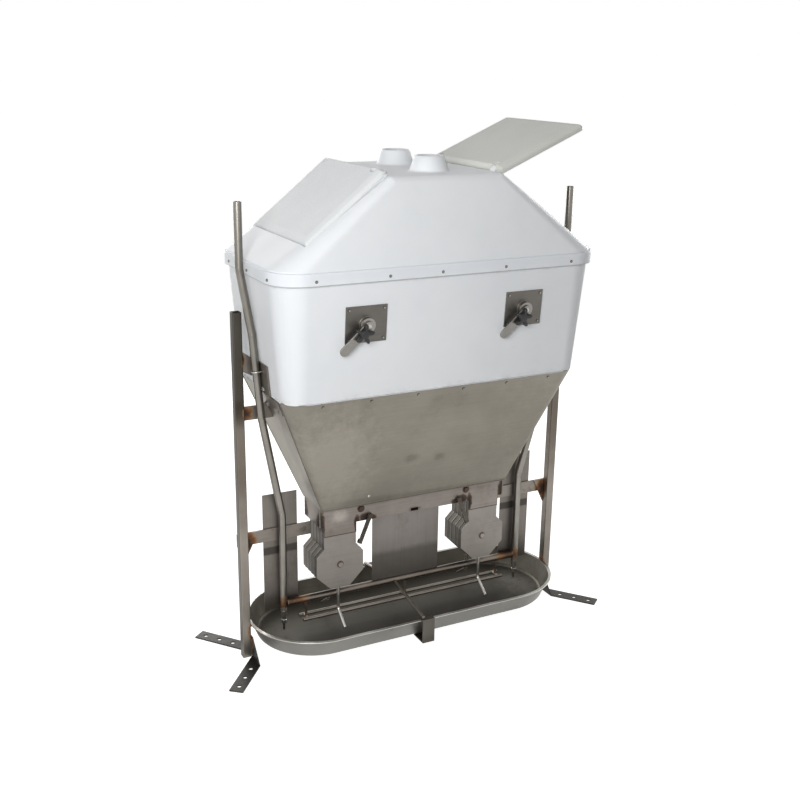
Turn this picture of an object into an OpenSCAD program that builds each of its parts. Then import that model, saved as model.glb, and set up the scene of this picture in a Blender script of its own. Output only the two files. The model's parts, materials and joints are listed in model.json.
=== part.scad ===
// Dry feeder for pigs: moulded hopper with a hinged hatch at each end, a folded steel cone,
// two rocker dispensers over a long trough, and a water line with two drinkers.
// Millimetres, +Z up, origin on the floor under the middle of the trough, the side with
// the adjusters facing -Y.

/* [Tub] */
// Half length of the tub at its rim
tub_rim_half_l = 470.5; // [464:0.5:474]
// Half width of the tub at its rim
tub_rim_half_w = 226.5; // [220:0.5:232]
// Corner radius of the tub at its rim
tub_rim_corner = 84; // [70:1:95]
// How far each wall leans in from rim to seam
tub_taper = 28; // [22:1:32]
// Thickness of the moulded tub wall
tub_wall = 6; // [4:0.5:7]
// Height of the tub from the seam to its rim
tub_height = 337; // [325:1:350]
// How far the tub reaches down inside the cone
lip_depth = 24; // [18:1:30]
// Thickness of that inner lip
lip_wall = 4; // [3:0.5:5]

/* [Lid] */
// Play between the skirt and the tub rim
skirt_gap = 2.5; // [1.5:0.5:4]
// Thickness of the skirt
skirt_wall = 6; // [5:0.5:8]
// How far the skirt hangs below the rim
skirt_drop = 28; // [22:1:34]
// How far the skirt stands above the rim
skirt_rise = 5; // [4:1:7]
// Step from the skirt in to the roof
roof_step = 5; // [3:0.5:6]
// Height of the flat roof top above the tub rim
roof_rise = 225; // [215:1:235]
// How far each end of the roof runs in from the tub rim
roof_run = 310.5; // [302:0.5:318]
// How far the front and the back of the roof lean in from the tub rim
roof_side = 14.5; // [11:0.5:20]
// Rounding of the roof edges
roof_round = 22; // [16:1:26]
// Upright part of the roof above the rim
roof_shoulder = 9; // [8:1:14]
// Thickness of the moulded roof
lid_wall = 5; // [4:0.5:6]
// Width of the ledge that rests on the tub rim
lid_ledge = 4; // [3:0.5:5]
// Height of the skirt screws below the tub rim
skirt_screw_drop = 15.4; // [10:0.2:18]

/* [Feed inlets] */
// Distance of each inlet from the middle
inlet_y = 99; // [94:1:104]
// Bore radius of each inlet
inlet_bore_r = 32; // [28:0.5:35]
// Wall of an inlet at its mouth
inlet_wall = 8.5; // [7:0.5:10]
// How much wider an inlet is at its foot
inlet_flare = 13; // [10:0.5:16]
// Height of an inlet above the roof
inlet_rise = 40; // [34:1:48]
// Bevel round the mouth of an inlet
inlet_bevel = 5; // [3:0.5:6]

/* [Hatches] */
// Slope of a shut hatch
hatch_slope = 39; // [38.5:0.25:40]
// Angle to which the right hatch stands open
hatch_open_angle = 62.5; // [30:0.5:75]
// Length of a hatch from its hinge
hatch_len = 267.5; // [255:0.5:270]
// Distance of a hatch edge from the side of the flat roof top
hatch_side = 27; // [25:1:37]
// Thickness of a hatch
hatch_thick = 24; // [22:0.5:25]
// Rounding of the hatch edges
hatch_round = 8; // [6:0.5:9]
// Radius of the roll along the hinge
hinge_roll_r = 10; // [9.5:0.1:10.2]
// Radius of the hinge pin
hinge_pin_r = 3; // [2.5:0.25:3.5]
// Hinge line outside the roof edge
hinge_out = 12.7; // [12.5:0.1:15]
// Hinge line above the roof top
hinge_up = 4.4; // [4.2:0.1:6]
// Distance of the hinge ears from the hatch edge
ear_in = 35; // [25:1:55]
// Width of a hinge ear
ear_w = 20; // [14:1:26]
// Rim that carries a shut hatch
hatch_rim = 36; // [28:1:44]
// Play between a hatch and its pocket
pocket_gap = 3; // [2:0.5:5]
// Thickness of the pocket floor
pocket_floor = 5; // [4:0.5:6]

/* [Cone and outlet] */
// Height of the cone from its foot to the seam
cone_height = 357; // [345:1:368]
// How far each end of the cone runs in from the seam
cone_run = 145.5; // [140:0.5:151]
// Width of the flange between the cone foot and the outlet box
outlet_flange = 16; // [10:0.5:22]
// Sheet thickness of the folded steel
sheet = 2; // [1.5:0.25:2.5]
// Distance of the last seam screw from the corner
seam_screw_end = 42.75; // [30:0.25:70]
// Distance of the outlet box wall from the dispenser necks
outlet_side = 5; // [3:0.5:9]
// Height of the outlet box
outlet_h = 56; // [50:1:62]

/* [Dispensers] */
// Distance of each dispenser from the end of the outlet box
dispenser_in = 63; // [57:1:69]
// Height of the rocker axis above the water pipe
rocker_rise = 113; // [109:1:117]
// Height of the outlet box above the rocker axis
neck_rise = 123; // [121:1:127]
// Distance from the axis to each side of the drum
drum_apothem = 72; // [70:0.5:76]
// Half depth of the drum
drum_half_depth = 49; // [48.5:0.25:51]
// Half width of the square neck
neck_half = 49; // [48:0.25:51]
// Height of the top edge of the cover plates above the rocker axis
cover_rise = 91; // [86:1:98]
// Radius of the pivot bolt
pivot_r = 5; // [4:0.5:6]
// Outer radius of the saddle that carries the feed
saddle_r = 45; // [42:0.5:47]
// Half angle of the saddle
saddle_half_angle = 50; // [40:1:54]
// Radius of an activator rod
activator_r = 4.5; // [3.5:0.25:5]
// Distance of an activator rod from the middle plane
activator_y = 35; // [30:1:38]
// Height above the trough rim at which an activator rod bends outwards
activator_bend_rise = 6; // [1:1:13]
// How far the bent end of an activator rod reaches out
activator_reach = 50; // [40:1:56]
// Height of the tip of an activator rod above the underside of the trough
activator_tip_rise = 27; // [22:1:32]

/* [Adjusters] */
// Height of the adjusters below the tub rim
adjuster_drop = 136; // [127:1:145]
// Width of an adjuster plate
plate_w = 115; // [108:1:122]
// Height of an adjuster plate
plate_h = 97; // [92:1:104]
// Outer radius of the boss on the plate
boss_r = 20; // [18:0.5:22]
// Radius of the spindle
spindle_r = 10; // [8:0.5:12]
// Length of the lever from the spindle
lever_len = 102; // [92:1:110]
// Width of the lever
lever_w = 24; // [20:1:26]
// Direction of the lever at rest, from +X
lever_angle = 223; // [215:1:230]
// Swing of the lever to each side
lever_swing = 25; // [20:1:27]
// Distance of the star knob from the spindle
knob_offset = 24; // [22:0.5:30]
// Reach of the arms of the star knob
knob_r = 27; // [24:0.5:30]
// Throw of the crank that lifts the gate
crank_r = 26; // [22:0.5:28]

/* [Posts and feet] */
// Distance of the post middle outside the tub rim
post_gap = 33.5; // [29.5:0.5:37.5]
// Outside of the square post
post_size = 25; // [23:0.5:27]
// Wall of the post
post_wall = 2; // [1.5:0.25:3]
// Height of the posts above the seam
post_rise = 211; // [192:1:227]
// Thickness of flat bars and strips
flat_bar = 4; // [3:0.5:4.5]
// Width of a foot strip
strip_w = 40; // [34:1:42]
// Direction of a foot strip from the X axis
strip_angle = 51; // [49:0.5:53]
// Pitch of the holes in a foot strip
strip_pitch = 46; // [40:0.5:50]
// Radius of the holes in a foot strip
strip_hole_r = 6; // [4:0.5:7]

/* [Trough] */
// Depth of the trough
trough_depth = 59; // [55:1:64]
// Height of the underside of the trough
trough_foot_z = 40; // [36:1:44]
// Half width of the trough with its rim
trough_half_w = 195; // [188:1:200]
// Width of the rim
trough_rim = 7; // [5:0.5:9]
// How far the trough wall leans in
trough_taper = 24; // [18:1:30]
// Width of a trough hook
hook_w = 38; // [34:1:46]
// Place of the trough hooks along the trough
hook_x = -25; // [-45:1:-10]
// How far the trough hooks hang below the trough
hook_drop = 11; // [8:0.5:16]

/* [Water line] */
// Outer radius of the water pipe
pipe_r = 10.65; // [9:0.05:10.8]
// Wall of the water pipe
pipe_wall = 2; // [1.5:0.25:2.5]
// Bend radius of the risers
pipe_bend = 60; // [45:1:75]
// Height of the open top of the risers above the tub rim
riser_rise = 159; // [125:1:185]
// Gap between the risers and the skirt
riser_gap = 10.4; // [9:0.2:12]
// Gap between the risers and the posts
riser_side = 4.85; // [3.85:0.25:8.85]
// Distance of the drinkers from the posts
drinker_in = 116; // [112:1:120]
// Height of the horizontal water pipe above the trough rim
water_rise = 40; // [37:1:45]
// Height of the drinker tip above the underside of the trough
drinker_rise = 16; // [12:1:20]
// Travel of the drinker pin
drinker_travel = 4; // [3:0.5:5]
// Radius of the guard bars
guard_r = 5; // [4:0.5:6]
// Height of the guard bars below the trough rim
guard_drop = 18; // [13:1:23]

/* [Hidden] */
$fn = 64;
hull_fn = 32;
running_fit = 0.06;
gap = 0.3;
screw_play = 0.2;
cut = 1;
skin = 0.01;
bend_lap = 0.5;
bend_swell = 0.05;
white = [0.93, 0.94, 0.95];
grey_plastic = [0.75, 0.75, 0.73];
steel = [0.66, 0.65, 0.63];
dark_steel = [0.5, 0.48, 0.46];
black = [0.08, 0.08, 0.09];

trough_top = trough_foot_z + trough_depth;
water_z = trough_top + water_rise;
rocker_z = water_z + rocker_rise;
outlet_z = rocker_z + neck_rise;
cone_foot_z = outlet_z + outlet_h;
seam_z = cone_foot_z + cone_height;
tub_top = seam_z + tub_height;
roof_top = tub_top + roof_rise;

tub_lean = atan(tub_taper / tub_height);
function tub_half_l(z) = tub_rim_half_l - tub_taper * (tub_top - z) / tub_height;
function tub_half_w(z) = tub_rim_half_w - tub_taper * (tub_top - z) / tub_height;
function tub_corner(z) = tub_rim_corner - tub_taper * (tub_top - z) / tub_height;

outlet_half_w = neck_half + outlet_side;
cone_foot_half_l = tub_half_l(seam_z) - cone_run;
cone_foot_half_w = outlet_half_w + outlet_flange;
cone_foot_corner = 6;
dispenser_x = cone_foot_half_l - dispenser_in;
post_x = tub_rim_half_l + post_gap;
post_face = post_x - post_size / 2;
post_top = seam_z + post_rise;
drinker_x = post_x - drinker_in;
adjuster_z = tub_top - adjuster_drop;
function cone_part(z) = (z - cone_foot_z) / (seam_z - cone_foot_z);
function cone_mix(foot, top, z) = foot + (top - foot) * cone_part(z);
function cone_half_l(z) = cone_mix(cone_foot_half_l, tub_half_l(seam_z), z);
function cone_half_w(z) = cone_mix(cone_foot_half_w, tub_half_w(seam_z), z);
function cone_corner(z) = cone_mix(cone_foot_corner, tub_corner(seam_z), z);
cone_front_lean = atan((tub_half_w(seam_z) - cone_foot_half_w) / (seam_z - cone_foot_z));
cone_end_lean = atan((tub_half_l(seam_z) - cone_foot_half_l) / (seam_z - cone_foot_z));
sheet_across = sheet / cos(cone_end_lean);

skirt_half_l = tub_rim_half_l + skirt_gap + skirt_wall;
skirt_half_w = tub_rim_half_w + skirt_gap + skirt_wall;
skirt_corner = tub_rim_corner + skirt_gap + skirt_wall;
skirt_z = tub_top - skirt_drop;
shoulder_z = tub_top + roof_shoulder;
shoulder_in = 3;
inner_shoulder_z = shoulder_z - shoulder_in;
roof_half_l = tub_rim_half_l - roof_run;
roof_half_w = tub_rim_half_w - roof_side;
roof_slope = atan((roof_top - shoulder_z) / (skirt_half_l - roof_step - roof_half_l));
roof_side_slope = atan((roof_top - shoulder_z) / (skirt_half_w - roof_step - roof_half_w));
roof_ball_x = roof_half_l - roof_round * tan(roof_slope / 2);
roof_ball_y = roof_half_w - roof_round * tan(roof_side_slope / 2);
roof_ball_z = roof_top - roof_round;

screw_r = 2;
screw_head_r = 4.5;
screw_head_h = 2.5;
rim_straight_l = tub_rim_half_l - tub_rim_corner;
rim_straight_w = tub_rim_half_w - tub_rim_corner;
skirt_screw_parts = [-0.97, -0.455, -0.067, 0.422, 0.957];
end_screw_parts = [-0.168, 0.828];
corner_screw_angle = 14;
skirt_screw_z = tub_top - skirt_screw_drop;
skirt_screw_len = 18;
seam_screw_count = 6;
seam_screw_first = seam_screw_end - rim_straight_l;
seam_screw_pitch = -2 * seam_screw_first / (seam_screw_count - 1);
seam_screw_z = seam_z - lip_depth / 2;
seam_screw_len = 10;

hinge_x = roof_half_l + hinge_out;
hinge_z = roof_top + hinge_up;
hatch_half_w = roof_half_w - hatch_side;
ear_y = hatch_half_w - ear_in;
ear_room = 1.5;
ear_r = hinge_roll_r - ear_room;
ear_play = 1;
roll_room = 4;
roll_over = 6;
roll_in = 2;
hatch_draft = 2;
seat_gap = 0.5;
hatch_top_n = hatch_thick - hinge_roll_r;
pin_past = 2;

drum_sides = 8;
half_side = 180 / drum_sides;
drum_inner = drum_apothem - sheet;
drum_lip = 1;
cover_top = rocker_z + cover_rise;
neck_inner = neck_half - sheet;
cover_y = drum_half_depth + sheet;
bolt_head = 5;
bolt_head_r = 8;
saddle_wall = 3;
saddle_room = 5;
saddle_half_len = drum_half_depth - saddle_room;
hub_r = 11;
hub_flat = 20;
hub_lap = 2;
rod_top_z = rocker_z - hub_flat;
activator_bend_z = trough_top + activator_bend_rise;
activator_tip_z = trough_foot_z + activator_tip_rise;
activator_turn = 3 * activator_r;

crank_drop = crank_r * sin(lever_swing);
gate_play = 1;
gate_half = neck_inner - gate_play;
gate_least = 1.7;
gate_bottom = rocker_z + saddle_r + crank_drop + gate_least;
gate_tall = 56;
gate_top = gate_bottom + gate_tall;
bridge_h = 8;
control_r = 4;
control_bend = 40;
control_drop = 70;
control_lap = 10;
yoke_rim = 5;

plate_t = 3;
plate_screw_inset = 9;
screw_past = 4;
boss_h = 14;
lever_t = 5;
lever_room = 1;
lever_seat = plate_t + boss_h + lever_room;
neck_r = 6;
spindle_in = 21;
crank_t = 5;
crank_rim = 2;
spindle_room = 2;
crank_pin_r = 4;
crank_pin_len = 14;
yoke_t = 6;
yoke_in = spindle_in + crank_t + crank_pin_len / 2;
yoke_y = -tub_half_w(adjuster_z) + yoke_in * cos(tub_lean);
yoke_z = adjuster_z + yoke_in * sin(tub_lean);
slot_play = 1.2;
stud_r = 4;
knob_lift = 3;
knob_t = 14;
knob_crown = 2;
knob_hub_r = 11;
knob_arm_w = 9;
knob_arms = 5;

latch_in = 89;
latch_up = 13;
latch_stand = 3;
latch_x = dispenser_x - latch_in;
latch_z = outlet_z + latch_up;
latch_eye_r = 8.4;
latch_head_r = 7.2;
latch_head_h = 3;
latch_pin_in = 6;
latch_len = 86;
latch_angle = 22;
latch_w = 12;
latch_pin_r = 3;
latch_y = outlet_half_w + latch_stand;
outlet_bolt_in = 63;
outlet_bolt_up = 38;
outlet_bolt_x = dispenser_x - outlet_bolt_in;
outlet_bolt_z = outlet_z + outlet_bolt_up;
outlet_bolt_r = 4;
bolt_past = 8;
outlet_bolt_len = sheet + bolt_past;
outlet_slot = [24, 8];

bracket_up = [80, 12];
bracket_high = [for (up = bracket_up) seam_z + up];
bracket_plate_y = [-85, 12];
tab_down = [2, 44];
tab_z = [for (down = tab_down) seam_z - down];
tab_y = [-130, 12];
strap_y = [-85, -45];
arm_half = flat_bar / 2;
arm_post_up = [105, 50];
arm_tub_up = [74, 27];
lower_arm_down = [47, 86];
upper_arm_post = [for (up = arm_post_up) seam_z + up];
upper_arm_tub = [for (up = arm_tub_up) seam_z + up];
lower_arm_z = [for (down = lower_arm_down) seam_z - down];
bracket_bolt_y = [-94, -28];
bracket_bolt_down = 11;
bracket_bolt_z = seam_z - lip_depth - bracket_bolt_down;
bracket_bolt_r = 4;
bracket_bolt_len = flat_bar + sheet + bolt_past;
lower_bar_down = [4, 42];
lower_bar_z = [for (down = lower_bar_down) outlet_z - down];
gusset_reach = 37;
gusset_drop = 38;
end_plate_half = 51;
end_plate_past = 41;
end_plate_up = 77;
end_plate_z = [cone_foot_z + end_plate_past, trough_foot_z + end_plate_up];

hole_in = [14, 78];
leg_top = 62;
leg_back = 25;
leg_lap = 16;
strip_end = 25;

trough_end = post_face - gap;
trough_sheet = 2.5;
trough_mid = trough_end - trough_half_w;
trough_wall_r = trough_half_w - trough_rim;
hook_room = 4;
hook_out = trough_half_w + hook_room;
hook_lip = 17;
hook_ledge = 53;
hook_z = trough_foot_z - hook_drop;
cross_rod_r = 4.5;
cross_rod_side = 14;
cross_rod_x = hook_x - cross_rod_side;
cross_rod_gap = 1.5;
cross_rod_past = 2;

drinker_body_r = 7;
drinker_collar_r = 9;
drinker_pin_r = 3.5;
pipe_end_z = water_z - pipe_r - gap;
collar_h = 24;
collar_z = pipe_end_z - collar_h;
drinker_tip_z = trough_foot_z + drinker_rise;
pin_out = 20;
pin_room = 2;
drinker_body_z = drinker_tip_z + pin_out;
clamp_wire_r = 2;
clamp_up = 55;
clamp_z = seam_z + clamp_up;
clamp_ring_r = pipe_r + gap + clamp_wire_r;
riser_top = tub_top + riser_rise;
riser_y = post_size / 2 + riser_side + pipe_r;
riser_knee_up = 152;
riser_turn_down = 68;
riser_in_up = 35;
riser_shoulder_down = 10;
riser_knee_z = seam_z + riser_knee_up;
riser_turn_z = seam_z - riser_turn_down;
riser_in_z = outlet_z + riser_in_up;
riser_shoulder_z = tub_top - riser_shoulder_down;
function riser_x(z) = tub_half_l(z) + flat_bar + gap + (pipe_r + gap) / cos(tub_lean);
riser_top_x = skirt_half_l + riser_gap + pipe_r;
riser_path = [
    [riser_top_x, -riser_y, riser_top],
    [riser_top_x, -riser_y, riser_shoulder_z],
    [riser_x(riser_knee_z), -riser_y, riser_knee_z],
    [riser_x(riser_turn_z), -riser_y, riser_turn_z],
    [drinker_x, 0, riser_in_z],
    [drinker_x, 0, pipe_end_z]
];
guard_y = 16;
guard_z = trough_top - guard_drop;
guard_in = 53;
guard_half_l = drinker_x - guard_in;
guard_tie_in = 15;
guard_tie_x = [guard_tie_in - guard_half_l, 0, guard_half_l - guard_tie_in];
guard_tie_r = 0.9 * guard_r;
guard_stem_r = 0.8 * guard_r;
centre_gap = 124;
centre_half_l = dispenser_x - centre_gap;

// Shared shapes

function unit(v) = v / norm(v);

module along(p, d) {
    z = unit(d);
    x = unit(cross(abs(z[0]) < 0.9 ? [1, 0, 0] : [0, 1, 0], z));
    y = cross(z, x);
    multmatrix([for (i = [0:2]) [x[i], y[i], z[i], p[i]]])
        children();
}

function turned(path, i) = acos(unit(path[i] - path[i - 1]) * unit(path[i + 1] - path[i]));
function trimmed(path, i, bend) = i == 0 || i == len(path) - 1 ? 0 : bend * tan(turned(path, i) / 2);

module elbow(before, at, after, bend, r) {
    u = unit(at - before);
    v = unit(after - at);
    phi = acos(u * v);
    n = unit(v - u * (u * v));
    w = cross(-n, u);
    c = at - u * bend * tan(phi / 2) + n * bend;
    multmatrix([for (i = [0:2]) [-n[i], u[i], w[i], c[i]]])
        rotate_extrude(angle = phi)
            translate([bend, 0])
                circle(r = r + bend_swell);
}

module bent_bar(path, bend, r) {
    last = len(path) - 1;
    for (i = [0:last - 1]) {
        d = unit(path[i + 1] - path[i]);
        a = path[i] + d * (trimmed(path, i, bend) - (i == 0 ? 0 : bend_lap));
        b = path[i + 1] - d * (trimmed(path, i + 1, bend) - (i == last - 1 ? 0 : bend_lap));
        along(a, d)
            cylinder(h = norm(b - a), r = r);
    }
    for (i = [1:1:last - 1])
        elbow(path[i - 1], path[i], path[i + 1], bend, r);
}

function stretched(path, e) = [
    for (i = [0:len(path) - 1])
        i == 0 ? path[0] + unit(path[0] - path[1]) * e :
        i == len(path) - 1 ? path[i] + unit(path[i] - path[i - 1]) * e : path[i]
];

module bent_pipe(path, bend, r, wall) {
    difference() {
        bent_bar(path, bend, r);
        bent_bar(stretched(path, cut), bend, r - wall);
    }
}

module across_y(half) {
    translate([0, half, 0])
        rotate([90, 0, 0])
            children();
}

module both_ends() {
    children();
    mirror([1, 0, 0])
        children();
}

module both_sides() {
    children();
    mirror([0, 1, 0])
        children();
}

module rounded_block(half_l, half_w, corner, z0, z1) {
    translate([-half_l, corner - half_w, z0])
        cube([2 * half_l, 2 * (half_w - corner), z1 - z0]);
    translate([corner - half_l, -half_w, z0])
        cube([2 * (half_l - corner), 2 * half_w, z1 - z0]);
    for (sx = [-1, 1], sy = [-1, 1])
        translate([sx * (half_l - corner), sy * (half_w - corner), z0])
            cylinder(h = z1 - z0, r = corner);
}

module tapered_block(half_l, half_w, corner, lean, z0, z1) {
    h = z1 - z0;
    across_y(half_w - corner)
        translate([0, z0, 0])
            linear_extrude(2 * (half_w - corner))
                polygon([[lean - half_l, 0], [half_l - lean, 0], [half_l, h], [-half_l, h]]);
    translate([corner - half_l, 0, z0])
        rotate([90, 0, 90])
            linear_extrude(2 * (half_l - corner))
                polygon([[lean - half_w, 0], [half_w - lean, 0], [half_w, h], [-half_w, h]]);
    for (sx = [-1, 1], sy = [-1, 1])
        translate([sx * (half_l - corner), sy * (half_w - corner), z0])
            cylinder(h = h, r1 = corner - lean, r2 = corner);
}

module screw(head_r, head_h, r, length) {
    cylinder(h = head_h, r = head_r);
    translate([0, 0, -length])
        cylinder(h = length, r = r);
}

module hex_bolt(head_r, head_h, r, length) {
    cylinder(h = head_h, r = head_r, $fn = 6);
    translate([0, 0, -length])
        cylinder(h = length, r = r);
}

// Hopper

module tub_solid(z0, z1, inset) {
    tapered_block(tub_half_l(z1) - inset, tub_half_w(z1) - inset, tub_corner(z1) - inset,
        tub_taper * (z1 - z0) / tub_height, z0, z1);
}

module cone_slice(z, inset) {
    r = cone_corner(z) - inset;
    for (sx = [-1, 1], sy = [-1, 1])
        translate([sx * (cone_half_l(z) - inset - r), sy * (cone_half_w(z) - inset - r), z])
            cylinder(h = skin, r = r, $fn = hull_fn);
}

module cone_solid(z0, z1, inset) {
    hull() {
        cone_slice(z0, inset);
        cone_slice(z1 - skin, inset);
    }
}

module adjuster_frame(x) {
    translate([x, -tub_half_w(adjuster_z), adjuster_z])
        rotate([90 + tub_lean, 0, 0])
            children();
}

module at_adjusters() {
    for (sx = [-1, 1])
        adjuster_frame(sx * dispenser_x)
            children();
}

module at_plate_screws() {
    for (sx = [-1, 1], sy = [-1, 1])
        translate([sx * (plate_w / 2 - plate_screw_inset),
            sy * (plate_h / 2 - plate_screw_inset), plate_t])
            children();
}

module at_skirt_screws() {
    both_sides()
        for (part = skirt_screw_parts)
            translate([part * rim_straight_l, -skirt_half_w, skirt_screw_z])
                rotate([90, 0, 0])
                    children();
    both_ends()
        for (part = end_screw_parts)
            translate([skirt_half_l, part * rim_straight_w, skirt_screw_z])
                rotate([0, 90, 0])
                    children();
    both_ends()
        translate([rim_straight_l, -rim_straight_w, skirt_screw_z])
            rotate([0, 0, -corner_screw_angle])
                translate([skirt_corner, 0, 0])
                    rotate([0, 90, 0])
                        children();
}

module at_seam_screws() {
    both_sides()
        for (i = [0:seam_screw_count - 1])
            translate([seam_screw_first + i * seam_screw_pitch, -cone_half_w(seam_screw_z), seam_screw_z])
                rotate([90 + cone_front_lean, 0, 0])
                    children();
}

module tub() {
    color(white)
        difference() {
            union() {
                difference() {
                    tub_solid(seam_z, tub_top, 0);
                    tub_solid(seam_z - cut, tub_top + cut, tub_wall);
                }
                difference() {
                    cone_solid(seam_z - lip_depth, seam_z + cut, sheet_across + gap);
                    cone_solid(seam_z - lip_depth - cut, seam_z + 2 * cut, sheet_across + gap + lip_wall);
                }
            }
            at_skirt_screws()
                translate([0, 0, -2 * skirt_screw_len])
                    cylinder(h = 2 * skirt_screw_len, r = screw_r + screw_play);
            at_seam_screws()
                translate([0, 0, -2 * seam_screw_len])
                    cylinder(h = 2 * seam_screw_len, r = screw_r + screw_play);
            at_adjusters() {
                translate([0, 0, -2 * tub_wall])
                    cylinder(h = 3 * tub_wall, r = spindle_r + spindle_room);
                at_plate_screws()
                    translate([0, 0, -3 * tub_wall])
                        cylinder(h = 4 * tub_wall, r = screw_r + screw_play);
            }
        }
}

module skirt_screws() {
    color(dark_steel)
        at_skirt_screws()
            screw(screw_head_r, screw_head_h, screw_r, skirt_screw_len);
}

module hopper_cone() {
    color(steel)
        difference() {
            cone_solid(cone_foot_z, seam_z, 0);
            cone_solid(cone_foot_z - cut, seam_z + cut, sheet_across);
            at_seam_screws()
                translate([0, 0, -seam_screw_len])
                    cylinder(h = 2 * seam_screw_len, r = screw_r + screw_play);
            at_bracket_bolts()
                translate([0, 0, -bracket_bolt_len])
                    cylinder(h = 2 * bracket_bolt_len, r = bracket_bolt_r + screw_play);
        }
}

module seam_screws() {
    color(dark_steel)
        at_seam_screws()
            screw(screw_head_r, screw_head_h, screw_r, seam_screw_len);
}

module outlet_box() {
    long = 2 * cone_foot_half_l;
    color(steel)
        difference() {
            union() {
                translate([-cone_foot_half_l, -outlet_half_w, outlet_z])
                    cube([long, 2 * outlet_half_w, cone_foot_z - outlet_z]);
                translate([-cone_foot_half_l, -cone_foot_half_w, cone_foot_z - sheet])
                    cube([long, 2 * cone_foot_half_w, sheet]);
                both_ends()
                    both_sides()
                        translate([dispenser_x - neck_half, -outlet_half_w, cover_top + gap])
                            cube([2 * neck_half, sheet, outlet_z + sheet - cover_top - gap]);
            }
            translate([sheet - cone_foot_half_l, sheet - outlet_half_w, outlet_z + sheet])
                cube([long - 2 * sheet, 2 * (outlet_half_w - sheet), cone_foot_z - outlet_z]);
            for (sx = [-1, 1])
                translate([sx * dispenser_x - neck_inner, -neck_inner, outlet_z - cut])
                    cube([2 * neck_inner, 2 * neck_inner, sheet + 2 * cut]);
            at_outlet_bolts()
                translate([0, 0, -outlet_bolt_len])
                    cylinder(h = 2 * outlet_bolt_len, r = outlet_bolt_r + screw_play);
            at_latches()
                across_y(outlet_half_w)
                    cylinder(h = outlet_half_w, r = latch_pin_r + screw_play);
            translate([-outlet_slot[0] / 2, -outlet_half_w - cut, outlet_z + sheet])
                cube([outlet_slot[0], sheet + 2 * cut, outlet_slot[1]]);
        }
}

module at_outlet_bolts() {
    both_ends()
        both_sides()
            translate([outlet_bolt_x, -outlet_half_w, outlet_bolt_z])
                rotate([90, 0, 0])
                    children();
}

module outlet_bolts() {
    color(dark_steel)
        at_outlet_bolts()
            hex_bolt(bolt_head_r, bolt_head, outlet_bolt_r, outlet_bolt_len);
}

module centre_plate() {
    low = water_z + pipe_r + gap;
    color(steel)
        translate([-centre_half_l, -sheet / 2, low])
            cube([2 * centre_half_l, sheet, outlet_z - low]);
}

// Lid and hatches

module roof_solid(z0, z1, half_l, half_w, corner, inset) {
    hull() {
        for (sx = [-1, 1], sy = [-1, 1]) {
            translate([sx * (half_l - corner), sy * (half_w - corner), z0])
                cylinder(h = z1 - z0, r = corner, $fn = hull_fn);
            translate([sx * roof_ball_x, sy * roof_ball_y, roof_ball_z])
                sphere(r = roof_round - inset, $fn = hull_fn);
        }
    }
}

module roof_outer() {
    roof_solid(tub_top, shoulder_z, skirt_half_l - roof_step, skirt_half_w - roof_step,
        skirt_corner - roof_step, 0);
}

module roof_inner() {
    roof_solid(tub_top - cut, inner_shoulder_z, tub_rim_half_l - lid_ledge,
        tub_rim_half_w - lid_ledge, tub_rim_corner - lid_ledge, lid_wall);
}

module hinge_frame(turn) {
    translate([hinge_x, 0, hinge_z])
        rotate([0, turn, 0])
            children();
}

module pocket_box(end_room, side_room, n0, n1) {
    back = hinge_roll_r + roll_room;
    translate([-back, -hatch_half_w - side_room, n0])
        cube([back + hatch_len + end_room, 2 * (hatch_half_w + side_room), n1 - n0]);
}

module hinge_ears() {
    for (sy = [-1, 1])
        translate([0, sy * ear_y, 0]) {
            across_y(ear_w / 2)
                cylinder(h = ear_w, r = ear_r);
            translate([-ear_r, -ear_w / 2, -hinge_roll_r - pocket_floor + cut])
                cube([2 * ear_r, ear_w, hinge_roll_r + pocket_floor - cut]);
        }
}

module inlet_stub() {
    mouth_r = inlet_bore_r + inlet_wall;
    flare_h = inlet_rise + lid_wall - inlet_bevel;
    cylinder(h = flare_h, r1 = mouth_r + inlet_flare, r2 = mouth_r);
    translate([0, 0, flare_h])
        cylinder(h = inlet_bevel, r1 = mouth_r, r2 = mouth_r - inlet_bevel);
}

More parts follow.
